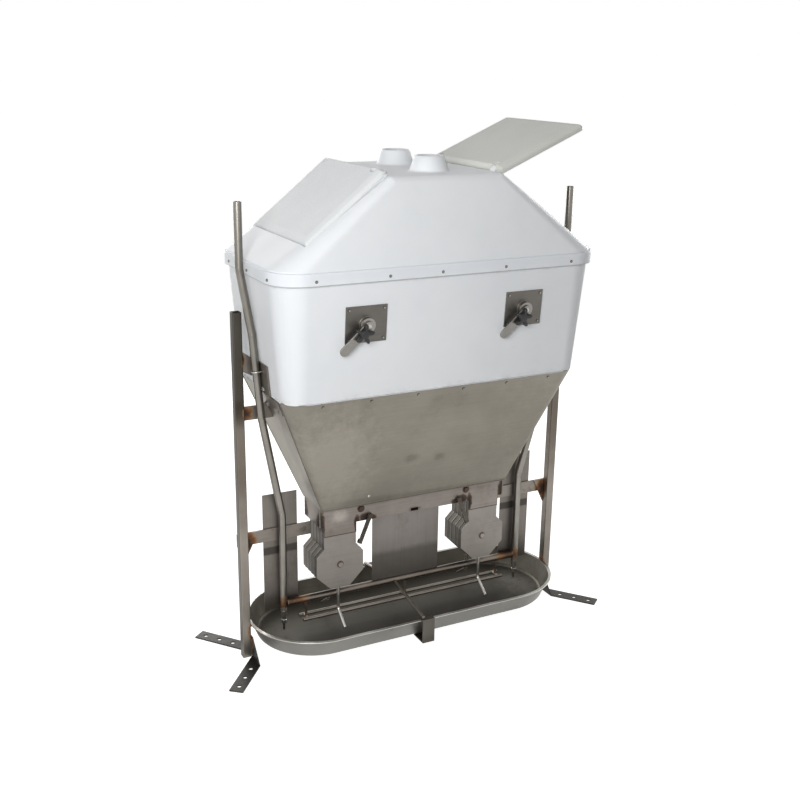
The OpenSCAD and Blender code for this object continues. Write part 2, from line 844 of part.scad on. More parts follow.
module lid() {
    seat = -hinge_roll_r - seat_gap;
    color(white)
        difference() {
            union() {
                difference() {
                    union() {
                        rounded_block(skirt_half_l, skirt_half_w, skirt_corner, skirt_z,
                            tub_top + skirt_rise);
                        roof_outer();
                    }
                    roof_inner();
                    rounded_block(tub_rim_half_l + skirt_gap, tub_rim_half_w + skirt_gap,
                        tub_rim_corner + skirt_gap, skirt_z - cut, tub_top);
                    both_ends()
                        hinge_frame(hatch_slope)
                            pocket_box(pocket_gap, pocket_gap, seat, 4 * hatch_thick);
                }
                difference() {
                    intersection() {
                        roof_outer();
                        both_ends()
                            hinge_frame(hatch_slope)
                                pocket_box(pocket_gap + pocket_floor, pocket_gap + pocket_floor,
                                    seat - pocket_floor, 4 * hatch_thick);
                    }
                    both_ends()
                        hinge_frame(hatch_slope)
                            pocket_box(pocket_gap, pocket_gap, seat, 5 * hatch_thick);
                }
                both_ends()
                    hinge_frame(hatch_slope)
                        hinge_ears();
                both_sides()
                    translate([0, inlet_y, roof_top - lid_wall])
                        inlet_stub();
            }
            both_sides()
                translate([0, inlet_y, roof_top - 2 * lid_wall])
                    cylinder(h = inlet_rise + 3 * lid_wall, r = inlet_bore_r);
            both_ends()
                hinge_frame(hatch_slope) {
                    translate([hatch_rim, hatch_rim - hatch_half_w, seat - 2 * pocket_floor])
                        cube([hatch_len - 2 * hatch_rim, 2 * (hatch_half_w - hatch_rim),
                            3 * pocket_floor]);
                    across_y(hatch_half_w)
                        cylinder(h = 2 * hatch_half_w, r = hinge_pin_r + running_fit);
                }
            at_skirt_screws()
                translate([0, 0, -skirt_wall - cut])
                    cylinder(h = skirt_wall + 2 * cut, r = screw_r + screw_play);
        }
}

module hatch() {
    edge_y = hatch_half_w - hatch_round;
    color(grey_plastic)
        difference() {
            hull() {
                for (sy = [-1, 1]) {
                    for (u = [hatch_round - roll_over, hatch_len - hatch_round])
                        translate([u, sy * edge_y, hatch_top_n - hatch_round])
                            sphere(r = hatch_round, $fn = hull_fn);
                    translate([hatch_len - hatch_round, sy * edge_y, -hinge_roll_r])
                        cylinder(h = cut, r = hatch_round - hatch_draft, $fn = hull_fn);
                }
                across_y(hatch_half_w - roll_in)
                    cylinder(h = 2 * (hatch_half_w - roll_in), r = hinge_roll_r, $fn = hull_fn);
            }
            across_y(hatch_half_w + cut)
                cylinder(h = 2 * (hatch_half_w + cut), r = hinge_pin_r + running_fit);
            for (sy = [-1, 1])
                translate([-2 * hinge_roll_r, sy * ear_y - ear_w / 2 - ear_play, -2 * hinge_roll_r])
                    cube([3 * hinge_roll_r + ear_play, ear_w + 2 * ear_play, 4 * hinge_roll_r]);
        }
}

module left_hatch() {
    mirror([1, 0, 0])
        hinge_frame(hatch_slope)
            hatch();
}

module right_hatch() {
    hinge_frame(hatch_slope - hatch_open_angle)
        hatch();
}

module hinge_pins() {
    half = ear_y + ear_w / 2 + pin_past;
    color(dark_steel)
        both_ends()
            hinge_frame(hatch_slope)
                across_y(half)
                    cylinder(h = 2 * half, r = hinge_pin_r);
}

// Dispensers

module drum_shape(apothem) {
    rotate([0, 0, half_side])
        circle(r = apothem / cos(half_side), $fn = drum_sides);
}

module dispenser_frame(x) {
    translate([x, 0, rocker_z])
        children();
}

module housing() {
    neck_low = drum_apothem * (1 + tan(half_side)) / 2;
    bottom_half = drum_inner * tan(half_side) - drum_lip;
    color(steel)
        difference() {
            union() {
                across_y(drum_half_depth)
                    linear_extrude(2 * drum_half_depth)
                        drum_shape(drum_apothem);
                translate([-neck_half, -drum_half_depth, neck_low])
                    cube([2 * neck_half, 2 * drum_half_depth, outlet_z - rocker_z - neck_low]);
            }
            across_y(drum_half_depth + cut)
                linear_extrude(2 * (drum_half_depth + cut))
                    drum_shape(drum_inner);
            translate([-neck_inner, -neck_inner, neck_low - cut])
                cube([2 * neck_inner, 2 * neck_inner, outlet_z - rocker_z]);
            translate([-bottom_half, -drum_half_depth - cut, -drum_apothem - cut])
                cube([2 * bottom_half, 2 * (drum_half_depth + cut), 3 * sheet]);
        }
}

module left_housing() {
    dispenser_frame(-dispenser_x)
        housing();
}

module right_housing() {
    dispenser_frame(dispenser_x)
        housing();
}

module covers() {
    color(steel)
        both_sides()
            translate([0, -drum_half_depth, 0])
                rotate([90, 0, 0])
                    difference() {
                        union() {
                            linear_extrude(sheet)
                                drum_shape(drum_apothem);
                            translate([-neck_half, 0, 0])
                                cube([2 * neck_half, cover_top - rocker_z, sheet]);
                        }
                        translate([0, 0, -cut])
                            cylinder(h = sheet + 2 * cut, r = pivot_r + screw_play);
                    }
}

module left_covers() {
    dispenser_frame(-dispenser_x)
        covers();
}

module right_covers() {
    dispenser_frame(dispenser_x)
        covers();
}

module pivot_bolts() {
    color(dark_steel)
        for (sx = [-1, 1])
            dispenser_frame(sx * dispenser_x) {
                across_y(cover_y)
                    cylinder(h = 2 * cover_y, r = pivot_r);
                both_sides()
                    translate([0, -cover_y, 0])
                        rotate([90, 0, 0])
                            cylinder(h = bolt_head, r = bolt_head_r, $fn = 6);
            }
}

module rocker() {
    far = 2 * saddle_r;
    wide = far * tan(saddle_half_angle);
    color(steel)
        difference() {
            union() {
                intersection() {
                    across_y(saddle_half_len)
                        linear_extrude(2 * saddle_half_len)
                            polygon([[0, 0], [wide, far], [-wide, far]]);
                    union() {
                        across_y(saddle_half_len)
                            difference() {
                                cylinder(h = 2 * saddle_half_len, r = saddle_r);
                                translate([0, 0, -cut])
                                    cylinder(h = 2 * (saddle_half_len + cut), r = saddle_r - saddle_wall);
                            }
                        both_sides()
                            translate([0, -activator_y + saddle_wall / 2, 0])
                                rotate([90, 0, 0])
                                    cylinder(h = saddle_wall, r = saddle_r - saddle_wall / 2);
                    }
                }
                across_y(saddle_half_len)
                    cylinder(h = 2 * saddle_half_len, r = hub_r);
                translate([-hub_r, -saddle_half_len, -hub_flat])
                    cube([2 * hub_r, 2 * saddle_half_len, hub_flat - pivot_r - hub_lap]);
            }
            across_y(saddle_half_len + cut)
                cylinder(h = 2 * (saddle_half_len + cut), r = pivot_r + running_fit);
        }
}

module left_rocker() {
    dispenser_frame(-dispenser_x)
        rocker();
}

module right_rocker() {
    dispenser_frame(dispenser_x)
        rocker();
}

module activators(x) {
    tip_y = -activator_y - activator_reach;
    color(dark_steel)
        both_sides()
            bent_bar([[x, -activator_y, rod_top_z], [x, -activator_y, activator_bend_z],
                [x, tip_y, activator_tip_z]], activator_turn, activator_r);
}

module left_activators() {
    activators(-dispenser_x);
}

module right_activators() {
    activators(dispenser_x);
}

module gate(x) {
    color(steel)
        translate([x, 0, gate_bottom])
            union() {
                difference() {
                    translate([-gate_half, -gate_half, 0])
                        cube([2 * gate_half, 2 * gate_half, gate_tall]);
                    translate([sheet - gate_half, sheet - gate_half, -cut])
                        cube([2 * (gate_half - sheet), 2 * (gate_half - sheet), gate_tall + 2 * cut]);
                }
                translate([cut - gate_half, -bridge_h, gate_tall - bridge_h])
                    cube([2 * (gate_half - cut), 2 * bridge_h, bridge_h]);
            }
}

module left_gate() {
    gate(-dispenser_x);
}

module right_gate() {
    gate(dispenser_x);
}

module control_rod(x) {
    rod_x = x + crank_r;
    slot_half = crank_pin_r + slot_play;
    slot_run = crank_r * (1 - cos(lever_swing)) + crank_pin_r + crank_rim;
    frame_half = slot_run + yoke_rim;
    frame_low = yoke_z - slot_half - yoke_rim;
    color(dark_steel)
        union() {
            difference() {
                translate([rod_x - frame_half, yoke_y - yoke_t / 2, frame_low])
                    cube([2 * frame_half, yoke_t, 2 * (slot_half + yoke_rim)]);
                translate([rod_x - slot_run, yoke_y - yoke_t, yoke_z - slot_half])
                    cube([2 * slot_run, 2 * yoke_t, 2 * slot_half]);
            }
            bent_bar([[rod_x, yoke_y, frame_low + cut], [rod_x, yoke_y, frame_low - control_drop],
                [rod_x, 0, cone_foot_z - control_lap], [rod_x, 0, gate_top]], control_bend, control_r);
        }
}

module left_control_rod() {
    control_rod(-dispenser_x);
}

module right_control_rod() {
    control_rod(dispenser_x);
}

// Latches

module at_latches() {
    both_ends()
        translate([-latch_x, -outlet_half_w, latch_z])
            children();
}

module latch() {
    color(dark_steel)
        translate([-latch_x, -latch_y, latch_z])
            rotate([0, latch_angle, 0])
                rotate([90, 0, 0])
                    difference() {
                        union() {
                            cylinder(h = flat_bar, r = latch_eye_r);
                            translate([-latch_w / 2, -latch_len, 0])
                                cube([latch_w, latch_len, flat_bar]);
                            translate([-latch_w / 2, -latch_len, cover_y + gap - latch_y])
                                cube([latch_w, latch_w, latch_y - cover_y - gap + cut]);
                        }
                        translate([0, 0, -cut])
                            cylinder(h = flat_bar + 2 * cut, r = latch_pin_r + running_fit);
                    }
}

module left_latch() {
    latch();
}

module right_latch() {
    mirror([1, 0, 0])
        latch();
}

module latch_pins() {
    stand = latch_stand + flat_bar + gap;
    color(dark_steel)
        at_latches()
            translate([0, -stand, 0])
                rotate([90, 0, 0])
                    screw(latch_head_r, latch_head_h, latch_pin_r, stand + latch_pin_in);
}

// Adjusters

module adjuster_plates() {
    color(steel)
        at_adjusters()
            difference() {
                union() {
                    translate([-plate_w / 2, -plate_h / 2, 0])
                        cube([plate_w, plate_h, plate_t]);
                    cylinder(h = plate_t + boss_h, r = boss_r);
                }
                translate([0, 0, -cut])
                    cylinder(h = plate_t + boss_h + 2 * cut, r = spindle_r + running_fit);
                at_plate_screws()
                    translate([0, 0, -2 * plate_t])
                        cylinder(h = 3 * plate_t, r = screw_r + screw_play);
            }
}

module plate_screws() {
    color(dark_steel)
        at_adjusters()
            at_plate_screws()
                screw(screw_head_r, screw_head_h, screw_r, plate_t + tub_wall + screw_past);
}

module spindle() {
    color(dark_steel)
        union() {
            translate([0, 0, -spindle_in])
                cylinder(h = spindle_in + lever_seat, r = spindle_r);
            cylinder(h = lever_seat + lever_t, r = neck_r);
            translate([0, 0, -spindle_in - crank_t]) {
                cylinder(h = crank_t, r = spindle_r);
                translate([0, -crank_pin_r - crank_rim, 0])
                    cube([crank_r, 2 * (crank_pin_r + crank_rim), crank_t]);
                translate([crank_r, 0, 0])
                    cylinder(h = crank_t, r = crank_pin_r + crank_rim);
                translate([crank_r, 0, -crank_pin_len])
                    cylinder(h = crank_pin_len + cut, r = crank_pin_r);
            }
        }
}

module left_spindle() {
    adjuster_frame(-dispenser_x)
        spindle();
}

module right_spindle() {
    adjuster_frame(dispenser_x)
        spindle();
}

module lever() {
    color(steel)
        translate([0, 0, lever_seat])
            rotate([0, 0, lever_angle])
                difference() {
                    union() {
                        cylinder(h = lever_t, r = lever_w / 2);
                        translate([0, -lever_w / 2, 0])
                            cube([lever_len - lever_w / 2, lever_w, lever_t]);
                        translate([lever_len - lever_w / 2, 0, 0])
                            cylinder(h = lever_t, r = lever_w / 2);
                    }
                    translate([0, 0, -cut])
                        cylinder(h = lever_t + 2 * cut, r = neck_r + screw_play / 4);
                    translate([knob_offset, 0, -cut])
                        cylinder(h = lever_t + 2 * cut, r = stud_r + running_fit);
                }
}

module left_lever() {
    adjuster_frame(-dispenser_x)
        lever();
}

module right_lever() {
    adjuster_frame(dispenser_x)
        lever();
}

module knob() {
    low = lever_seat + lever_t + knob_lift;
    color(black)
        rotate([0, 0, lever_angle])
            translate([knob_offset, 0, 0])
                union() {
                    translate([0, 0, lever_seat])
                        cylinder(h = low - lever_seat + cut, r = stud_r);
                    translate([0, 0, low]) {
                        cylinder(h = knob_t, r = knob_hub_r);
                        for (i = [0:knob_arms - 1])
                            rotate([0, 0, i * 360 / knob_arms]) {
                                translate([0, -knob_arm_w / 2, 0])
                                    cube([knob_r - knob_arm_w / 2, knob_arm_w, knob_t - knob_crown]);
                                translate([knob_r - knob_arm_w / 2, 0, 0])
                                    cylinder(h = knob_t - knob_crown, r = knob_arm_w / 2);
                            }
                    }
                }
}

module left_knob() {
    adjuster_frame(-dispenser_x)
        knob();
}

module right_knob() {
    adjuster_frame(dispenser_x)
        knob();
}

// Posts, brackets and feet

module post() {
    color(dark_steel)
        difference() {
            translate([post_face, -post_size / 2, 0])
                cube([post_size, post_size, post_top]);
            translate([post_face + post_wall, post_wall - post_size / 2, -cut])
                cube([post_size - 2 * post_wall, post_size - 2 * post_wall, post_top + 2 * cut]);
        }
}

module left_post() {
    mirror([1, 0, 0])
        post();
}

module right_post() {
    post();
}

module flat_in_xz(y, points) {
    across_y(y[1])
        linear_extrude(y[1] - y[0])
            polygon(points);
}

module at_bracket_bolts() {
    both_ends()
        for (y = bracket_bolt_y)
            translate([cone_half_l(bracket_bolt_z), y, bracket_bolt_z])
                rotate([0, 90 + cone_end_lean, 0])
                    translate([0, 0, flat_bar + gap])
                        children();
}

module bracket() {
    color(dark_steel)
        difference() {
            union() {
                flat_in_xz(bracket_plate_y, [for (z = bracket_high) [tub_half_l(z) + gap, z],
                    for (z = [bracket_high[1], bracket_high[0]]) [tub_half_l(z) + gap + flat_bar, z]]);
                flat_in_xz(strap_y, [for (z = [bracket_high[1] + cut, seam_z]) [tub_half_l(z) + gap, z],
                    [cone_half_l(tab_z[0] - cut) + gap, tab_z[0] - cut],
                    [cone_half_l(tab_z[0] - cut) + gap + flat_bar, tab_z[0] - cut],
                    for (z = [seam_z, bracket_high[1] + cut]) [tub_half_l(z) + gap + flat_bar, z]]);
                flat_in_xz(tab_y, [for (z = tab_z) [cone_half_l(z) + gap, z],
                    for (z = [tab_z[1], tab_z[0]]) [cone_half_l(z) + gap + flat_bar, z]]);
                flat_in_xz([-arm_half, arm_half], [for (z = upper_arm_tub) [tub_half_l(z) + gap + cut, z],
                    [post_face, upper_arm_post[1]], [post_face, upper_arm_post[0]]]);
                flat_in_xz([-arm_half, arm_half], [for (z = lower_arm_z) [cone_half_l(z) + gap, z],
                    [post_face, lower_arm_z[1]], [post_face, lower_arm_z[0]]]);
                flat_in_xz([-arm_half, arm_half], [[cone_half_l(tab_z[1]) + gap + cut, tab_z[1] + cut],
                    [cone_half_l(lower_arm_z[0]) + gap, lower_arm_z[0] - cut],
                    [cone_half_l(lower_arm_z[0]) + gap + 4 * flat_bar, lower_arm_z[0] - cut],
                    [cone_half_l(tab_z[1]) + gap + 4 * flat_bar, tab_z[1] + cut]]);
            }
            at_bracket_bolts()
                translate([0, 0, -bracket_bolt_len])
                    cylinder(h = 2 * bracket_bolt_len, r = bracket_bolt_r + screw_play);
        }
}

module left_bracket() {
    mirror([1, 0, 0])
        bracket();
}

module right_bracket() {
    bracket();
}

module bracket_bolts() {
    color(steel)
        at_bracket_bolts()
            hex_bolt(bolt_head_r, bolt_head, bracket_bolt_r, bracket_bolt_len);
}

module lower_bar() {
    back = post_size / 2;
    color(dark_steel)
        union() {
            translate([cone_foot_half_l, back, lower_bar_z[1]])
                cube([post_x + back - cone_foot_half_l, flat_bar, lower_bar_z[0] - lower_bar_z[1]]);
            flat_in_xz([back - flat_bar, back], [[post_face, lower_bar_z[0]],
                [post_face - gusset_reach, lower_bar_z[0]], [post_face, lower_bar_z[1] - gusset_drop]]);
        }
}

module left_lower_bar() {
    mirror([1, 0, 0])
        lower_bar();
}

module right_lower_bar() {
    lower_bar();
}

module end_plate() {
    color(steel)
        translate([drinker_x - end_plate_half, post_size / 2 + flat_bar, end_plate_z[1]])
            cube([2 * end_plate_half, sheet, end_plate_z[0] - end_plate_z[1]]);
}

module left_end_plate() {
    mirror([1, 0, 0])
        end_plate();
}

module right_end_plate() {
    end_plate();
}

module foot_strip() {
    leg_in = post_face - flat_bar;
    strip_back = 2 * strip_w;
    color(dark_steel)
        union() {
            difference() {
                translate([post_x + hole_in[0], hole_in[1], 0])
                    rotate([0, 0, strip_angle])
                        difference() {
                            translate([-strip_back, -strip_w / 2, 0])
                                cube([strip_back + 2 * strip_pitch + strip_end, strip_w, flat_bar]);
                            for (i = [0:2])
                                translate([i * strip_pitch, 0, -cut])
                                    cylinder(h = flat_bar + 2 * cut, r = strip_hole_r);
                        }
                translate([leg_in - 4 * strip_w, -2 * strip_w, -cut])
                    cube([4 * strip_w, 6 * strip_w, flat_bar + 2 * cut]);
            }
            translate([leg_in, 0, 0])
                rotate([90, 0, 90])
                    linear_extrude(flat_bar)
                        polygon([[gap, leg_top], [gap, leg_back], [post_size / 2 + gap, 0],
                            [post_size / 2 + 1.5 * strip_w, 0], [leg_lap, leg_top]]);
        }
}

module foot_strips() {
    both_sides()
        foot_strip();
}

module left_foot_strips() {
    mirror([1, 0, 0])
        foot_strips();
}

module right_foot_strips() {
    foot_strips();
}

// Trough

module trough_solid(z0, z1, r0, r1) {
    h = z1 - z0;
    for (sx = [-1, 1])
        translate([sx * trough_mid, 0, z0])
            cylinder(h = h, r1 = r0, r2 = r1);
    translate([-trough_mid, 0, z0])
        rotate([90, 0, 90])
            linear_extrude(2 * trough_mid)
                polygon([[-r0, 0], [r0, 0], [r1, h], [-r1, h]]);
}

module trough() {
    low_r = trough_wall_r - trough_taper;
    color(steel)
        union() {
            difference() {
                trough_solid(trough_foot_z, trough_top, low_r, trough_wall_r);
                trough_solid(trough_foot_z + trough_sheet, trough_top, low_r - trough_sheet,
                    trough_wall_r - trough_sheet);
            }
            difference() {
                trough_solid(trough_top - trough_sheet, trough_top, trough_half_w, trough_half_w);
                trough_solid(trough_top - 2 * trough_sheet, trough_top + cut, trough_wall_r - trough_sheet,
                    trough_wall_r - trough_sheet);
            }
        }
}

module trough_hook() {
    color(steel)
        translate([hook_x - hook_w / 2, 0, 0])
            rotate([90, 0, 90])
                linear_extrude(hook_w)
                    polygon([[-hook_out - flat_bar, hook_z], [hook_ledge - hook_out, hook_z],
                        [hook_ledge - hook_out, trough_foot_z],
                        [hook_ledge - hook_out - flat_bar, trough_foot_z],
                        [hook_ledge - hook_out - flat_bar, hook_z + flat_bar],
                        [-hook_out, hook_z + flat_bar], [-hook_out, trough_top],
                        [hook_lip - hook_out - flat_bar, trough_top],
                        [hook_lip - hook_out - flat_bar, trough_top + flat_bar],
                        [-hook_out - flat_bar, trough_top + flat_bar]]);
}

module trough_hooks() {
    both_sides()
        trough_hook();
}

module cross_rods() {
    start = [cross_rod_x, -pipe_r - gap - cross_rod_gap, water_z];
    finish = [cross_rod_x, cross_rod_past - hook_out, trough_top + flat_bar + cross_rod_r + gap];
    color(dark_steel)
        both_sides()
            bent_bar([start, finish], 0, cross_rod_r);
}

// Water line

module left_riser() {
    mirror([1, 0, 0])
        right_riser();
}

module right_riser() {
    color(steel)
        bent_pipe(riser_path, pipe_bend, pipe_r, pipe_wall);
}

module water_pipe() {
    half = drinker_x - pipe_r - gap;
    color(steel)
        bent_pipe([[-half, 0, water_z], [half, 0, water_z]], 0, pipe_r, pipe_wall);
}

module pipe_clamps() {
    color(steel)
        both_ends()
            translate([riser_x(clamp_z), -riser_y, clamp_z])
                rotate([0, tub_lean, 0])
                    union() {
                        rotate([0, 0, -90])
                            rotate_extrude(angle = 180)
                                translate([clamp_ring_r, 0])
                                    circle(r = clamp_wire_r);
                        for (sy = [-1, 1])
                            translate([-pipe_r, sy * clamp_ring_r, 0])
                                rotate([0, 90, 0])
                                    cylinder(h = pipe_r, r = clamp_wire_r);
                    }
}

module guard_bars() {
    color(dark_steel)
        union() {
            both_sides()
                translate([-guard_half_l, guard_y, guard_z])
                    rotate([0, 90, 0])
                        cylinder(h = 2 * guard_half_l, r = guard_r);
            for (x = guard_tie_x) {
                translate([x, 0, guard_z])
                    across_y(guard_y)
                        cylinder(h = 2 * guard_y, r = guard_tie_r);
                translate([x, 0, guard_z])
                    cylinder(h = pipe_end_z - guard_z, r = guard_stem_r);
            }
        }
}

module drinker_bodies() {
    color(steel)
        both_ends()
            translate([drinker_x, 0, 0])
                difference() {
                    union() {
                        translate([0, 0, collar_z])
                            cylinder(h = pipe_end_z - collar_z, r = drinker_collar_r);
                        translate([0, 0, drinker_body_z])
                            cylinder(h = collar_z - drinker_body_z + cut, r = drinker_body_r);
                    }
                    translate([0, 0, drinker_body_z - cut])
                        cylinder(h = pipe_end_z - drinker_body_z + 2 * cut,
                            r = drinker_pin_r + running_fit);
                }
}

module drinker_pin() {
    color(dark_steel)
        translate([drinker_x, 0, drinker_tip_z])
            cylinder(h = pipe_end_z - drinker_tip_z - drinker_travel - pin_room, r = drinker_pin_r);
}

module left_drinker_pin() {
    mirror([1, 0, 0])
        drinker_pin();
}

module right_drinker_pin() {
    drinker_pin();
}

lid();
left_hatch();
right_hatch();
hinge_pins();
skirt_screws();
tub();
hopper_cone();
seam_screws();
outlet_box();
outlet_bolts();
centre_plate();
left_housing();
right_housing();
left_covers();
right_covers();
pivot_bolts();
left_rocker();
right_rocker();
left_activators();
right_activators();
left_gate();
right_gate();
left_control_rod();
right_control_rod();
left_latch();
right_latch();
latch_pins();
adjuster_plates();
plate_screws();
left_spindle();
right_spindle();
left_lever();
right_lever();
left_knob();
right_knob();
left_post();
right_post();
left_bracket();
right_bracket();
bracket_bolts();
left_lower_bar();
right_lower_bar();
left_end_plate();
right_end_plate();
left_foot_strips();
right_foot_strips();
trough();
trough_hooks();
cross_rods();
left_riser();
right_riser();
water_pipe();
pipe_clamps();
guard_bars();
drinker_bodies();
left_drinker_pin();
right_drinker_pin();
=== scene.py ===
import bpy
import bmesh
import json
import math
import random
from mathutils import Matrix, Vector

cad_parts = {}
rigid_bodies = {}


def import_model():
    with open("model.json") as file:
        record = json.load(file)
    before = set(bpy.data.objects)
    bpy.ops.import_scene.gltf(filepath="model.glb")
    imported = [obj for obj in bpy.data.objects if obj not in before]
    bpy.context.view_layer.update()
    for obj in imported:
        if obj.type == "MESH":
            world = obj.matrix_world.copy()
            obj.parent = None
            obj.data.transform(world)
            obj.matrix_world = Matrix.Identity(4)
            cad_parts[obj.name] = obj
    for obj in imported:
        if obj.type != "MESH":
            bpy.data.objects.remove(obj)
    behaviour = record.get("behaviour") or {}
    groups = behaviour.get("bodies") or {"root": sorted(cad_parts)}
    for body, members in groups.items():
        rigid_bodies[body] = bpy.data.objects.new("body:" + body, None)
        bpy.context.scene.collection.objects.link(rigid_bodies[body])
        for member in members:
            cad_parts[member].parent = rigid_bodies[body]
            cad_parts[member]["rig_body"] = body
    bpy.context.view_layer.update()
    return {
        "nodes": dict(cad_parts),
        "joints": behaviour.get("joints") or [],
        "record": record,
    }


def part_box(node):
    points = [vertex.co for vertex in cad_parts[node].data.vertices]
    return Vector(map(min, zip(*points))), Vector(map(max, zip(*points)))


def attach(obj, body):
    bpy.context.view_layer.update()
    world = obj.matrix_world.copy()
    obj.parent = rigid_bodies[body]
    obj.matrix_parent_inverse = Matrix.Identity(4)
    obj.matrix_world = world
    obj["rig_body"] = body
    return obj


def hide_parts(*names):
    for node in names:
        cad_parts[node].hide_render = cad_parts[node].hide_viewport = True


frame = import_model()
nodes = frame["nodes"]
sides = ("left", "right")
mm = 0.001
chance = random.Random(5)
print("frame loaded,", len(nodes), "solids")


# shader values: sums and products of them add Math nodes
class Val:
    def __init__(self, look, socket):
        self.look, self.socket = look, socket

    def __add__(self, other):
        return self.look.calc("ADD", self, other)

    def __radd__(self, other):
        return self.look.calc("ADD", other, self)

    def __sub__(self, other):
        return self.look.calc("SUBTRACT", self, other)

    def __rsub__(self, other):
        return self.look.calc("SUBTRACT", other, self)

    def __mul__(self, other):
        return self.look.calc("MULTIPLY", self, other)

    def __rmul__(self, other):
        return self.look.calc("MULTIPLY", other, self)

    def most(self, other):
        return self.look.calc("MAXIMUM", self, other)

    def rise(self, low, high):  # 0 at low, 1 at high, eased
        return self.look.node("ShaderNodeMapRange", {"interpolation_type": "SMOOTHSTEP"},
                              {"Value": self, "From Min": low, "From Max": high})

    def between(self, low, high, soft):  # 1 from low to high, with soft ends
        return self.rise(low - soft, low + soft) * (1 - self.rise(high - soft, high + soft))


class Look:
    def __init__(self, name, tree=None):
        if tree is None:
            self.mat = bpy.data.materials.new(name)
            self.mat.use_nodes = True
            tree = self.mat.node_tree
        self.tree = tree
        self.tree.nodes.clear()

    def node(self, kind, settings, sockets, out=0):
        made = self.tree.nodes.new(kind)
        for key, value in settings.items():
            if key == "stops":
                stops = made.color_ramp.elements
                while len(stops) < len(value):
                    stops.new(0.5)
                for stop, (place, colour) in zip(stops, value):
                    stop.position, stop.color = place, (*colour, 1)
            else:
                setattr(made, key, value)
        for key, value in sockets.items():
            slot = next(s for s in made.inputs if key in (s.identifier, s.name))
            if isinstance(value, Val):
                self.tree.links.new(value.socket, slot)
            else:
                slot.default_value = value
        return Val(self, made.outputs[out]) if len(made.outputs) else None

    def calc(self, how, a, b):
        return self.node("ShaderNodeMath", {"operation": how}, {"Value": a, "Value_001": b})

    def coords(self):  # Object coordinates
        return self.node("ShaderNodeTexCoord", {}, {}, 3)

    def place(self, stretch=(1, 1, 1), turn=(0, 0, 0), shift=(0, 0, 0)):
        return self.node("ShaderNodeMapping", {}, {"Vector": self.coords(), "Scale": stretch,
                                                   "Rotation": turn, "Location": shift})

    def axis(self, which):
        return self.node("ShaderNodeSeparateXYZ", {}, {"Vector": self.coords()}, "xyz".index(which))

    def noise(self, scale, detail, rough, **where):
        return self.node("ShaderNodeTexNoise", {}, {"Vector": self.place(**where), "Scale": scale,
                                                    "Detail": detail, "Roughness": rough})

    def jitter(self, scale, detail, rough):  # noise about 0
        return self.noise(scale, detail, rough) - 0.5

    def specks(self, scale):
        return self.node("ShaderNodeTexVoronoi", {}, {"Vector": self.place(), "Scale": scale})

    def spot(self, centre, reach):  # 1 at the centre, 0 at the reach
        where = self.place(stretch=tuple(1 / r for r in reach),
                           shift=tuple(-c / r for c, r in zip(centre, reach)))
        return 1 - self.node("ShaderNodeVectorMath", {"operation": "LENGTH"}, {"Vector": where}, 1)

    def mix(self, share, a, b):
        a = (*a, 1) if isinstance(a, tuple) else a
        b = (*b, 1) if isinstance(b, tuple) else b
        return self.node("ShaderNodeMix", {"data_type": "RGBA"},
                         {"Factor_Float": share, "A_Color": a, "B_Color": b}, 2)

    def ramp(self, share, stops):
        return self.node("ShaderNodeValToRGB", {"stops": stops}, {"Fac": share})

    def bump(self, height, depth, strength):
        return self.node("ShaderNodeBump", {}, {"Height": height, "Distance": depth, "Strength": strength})

    def finish(self, sockets):
        shader = self.node("ShaderNodeBsdfPrincipled", {}, sockets)
        self.node("ShaderNodeOutputMaterial", {}, {"Surface": shader})
        return self.mat


def tone(*screen):  # screen colour 0 to 255 as a linear one
    shares = [c / 255 for c in screen]
    return tuple(s / 12.92 if s <= 0.04045 else ((s + 0.055) / 1.055) ** 2.4 for s in shares)


def bothEnds(*spots):
    return [((s * c[0], c[1], c[2]), *rest) for c, *rest in spots for s in (-1, 1)]


# moulded polyethylene; painted shade lines run at a height under the skirt's lower edge, on its face and at
# its top crease: low, high, soft edge, share and shade
whitePlastic = {"light": (243, 245, 247), "shade": (236, 239, 242), "dust": (196, 192, 180), "rough": 0.42,
                "dusty": [(1.097, 0.012), (0.79, 0.02)],
                "paintedShadeLines": [(1.106, 1.128, 0.008, 0.12, (204, 216, 236)),
                          (1.0955, 1.0995, 0.0008, 0.6, (150, 158, 172)),
                          (1.1285, 1.1315, 0.0012, 0.2, (176, 186, 200))]}
leftHatchPlastic = {"light": (240, 242, 244), "shade": (230, 233, 235), "dust": (198, 196, 188),
                    "rough": 0.5, "cell": 260.0}
# the open right hatch's copy of the moulding is greyer and darker: painted shade
openHatchShadedPlastic = {"light": (222, 223, 217), "shade": (212, 213, 206), "dust": (180, 179, 169),
                     "rough": 0.5, "cell": 260.0}
moulding = {"dustShare": 0.4, "scuffShare": 0.1, "cellShare": 0.12, "relief": 0.0009, "bump": 0.35,
            "glow": 0.1, "glowReach": (0.02, 0.02, 0.022), "glowScale": 0.3, "shine": 0.4}


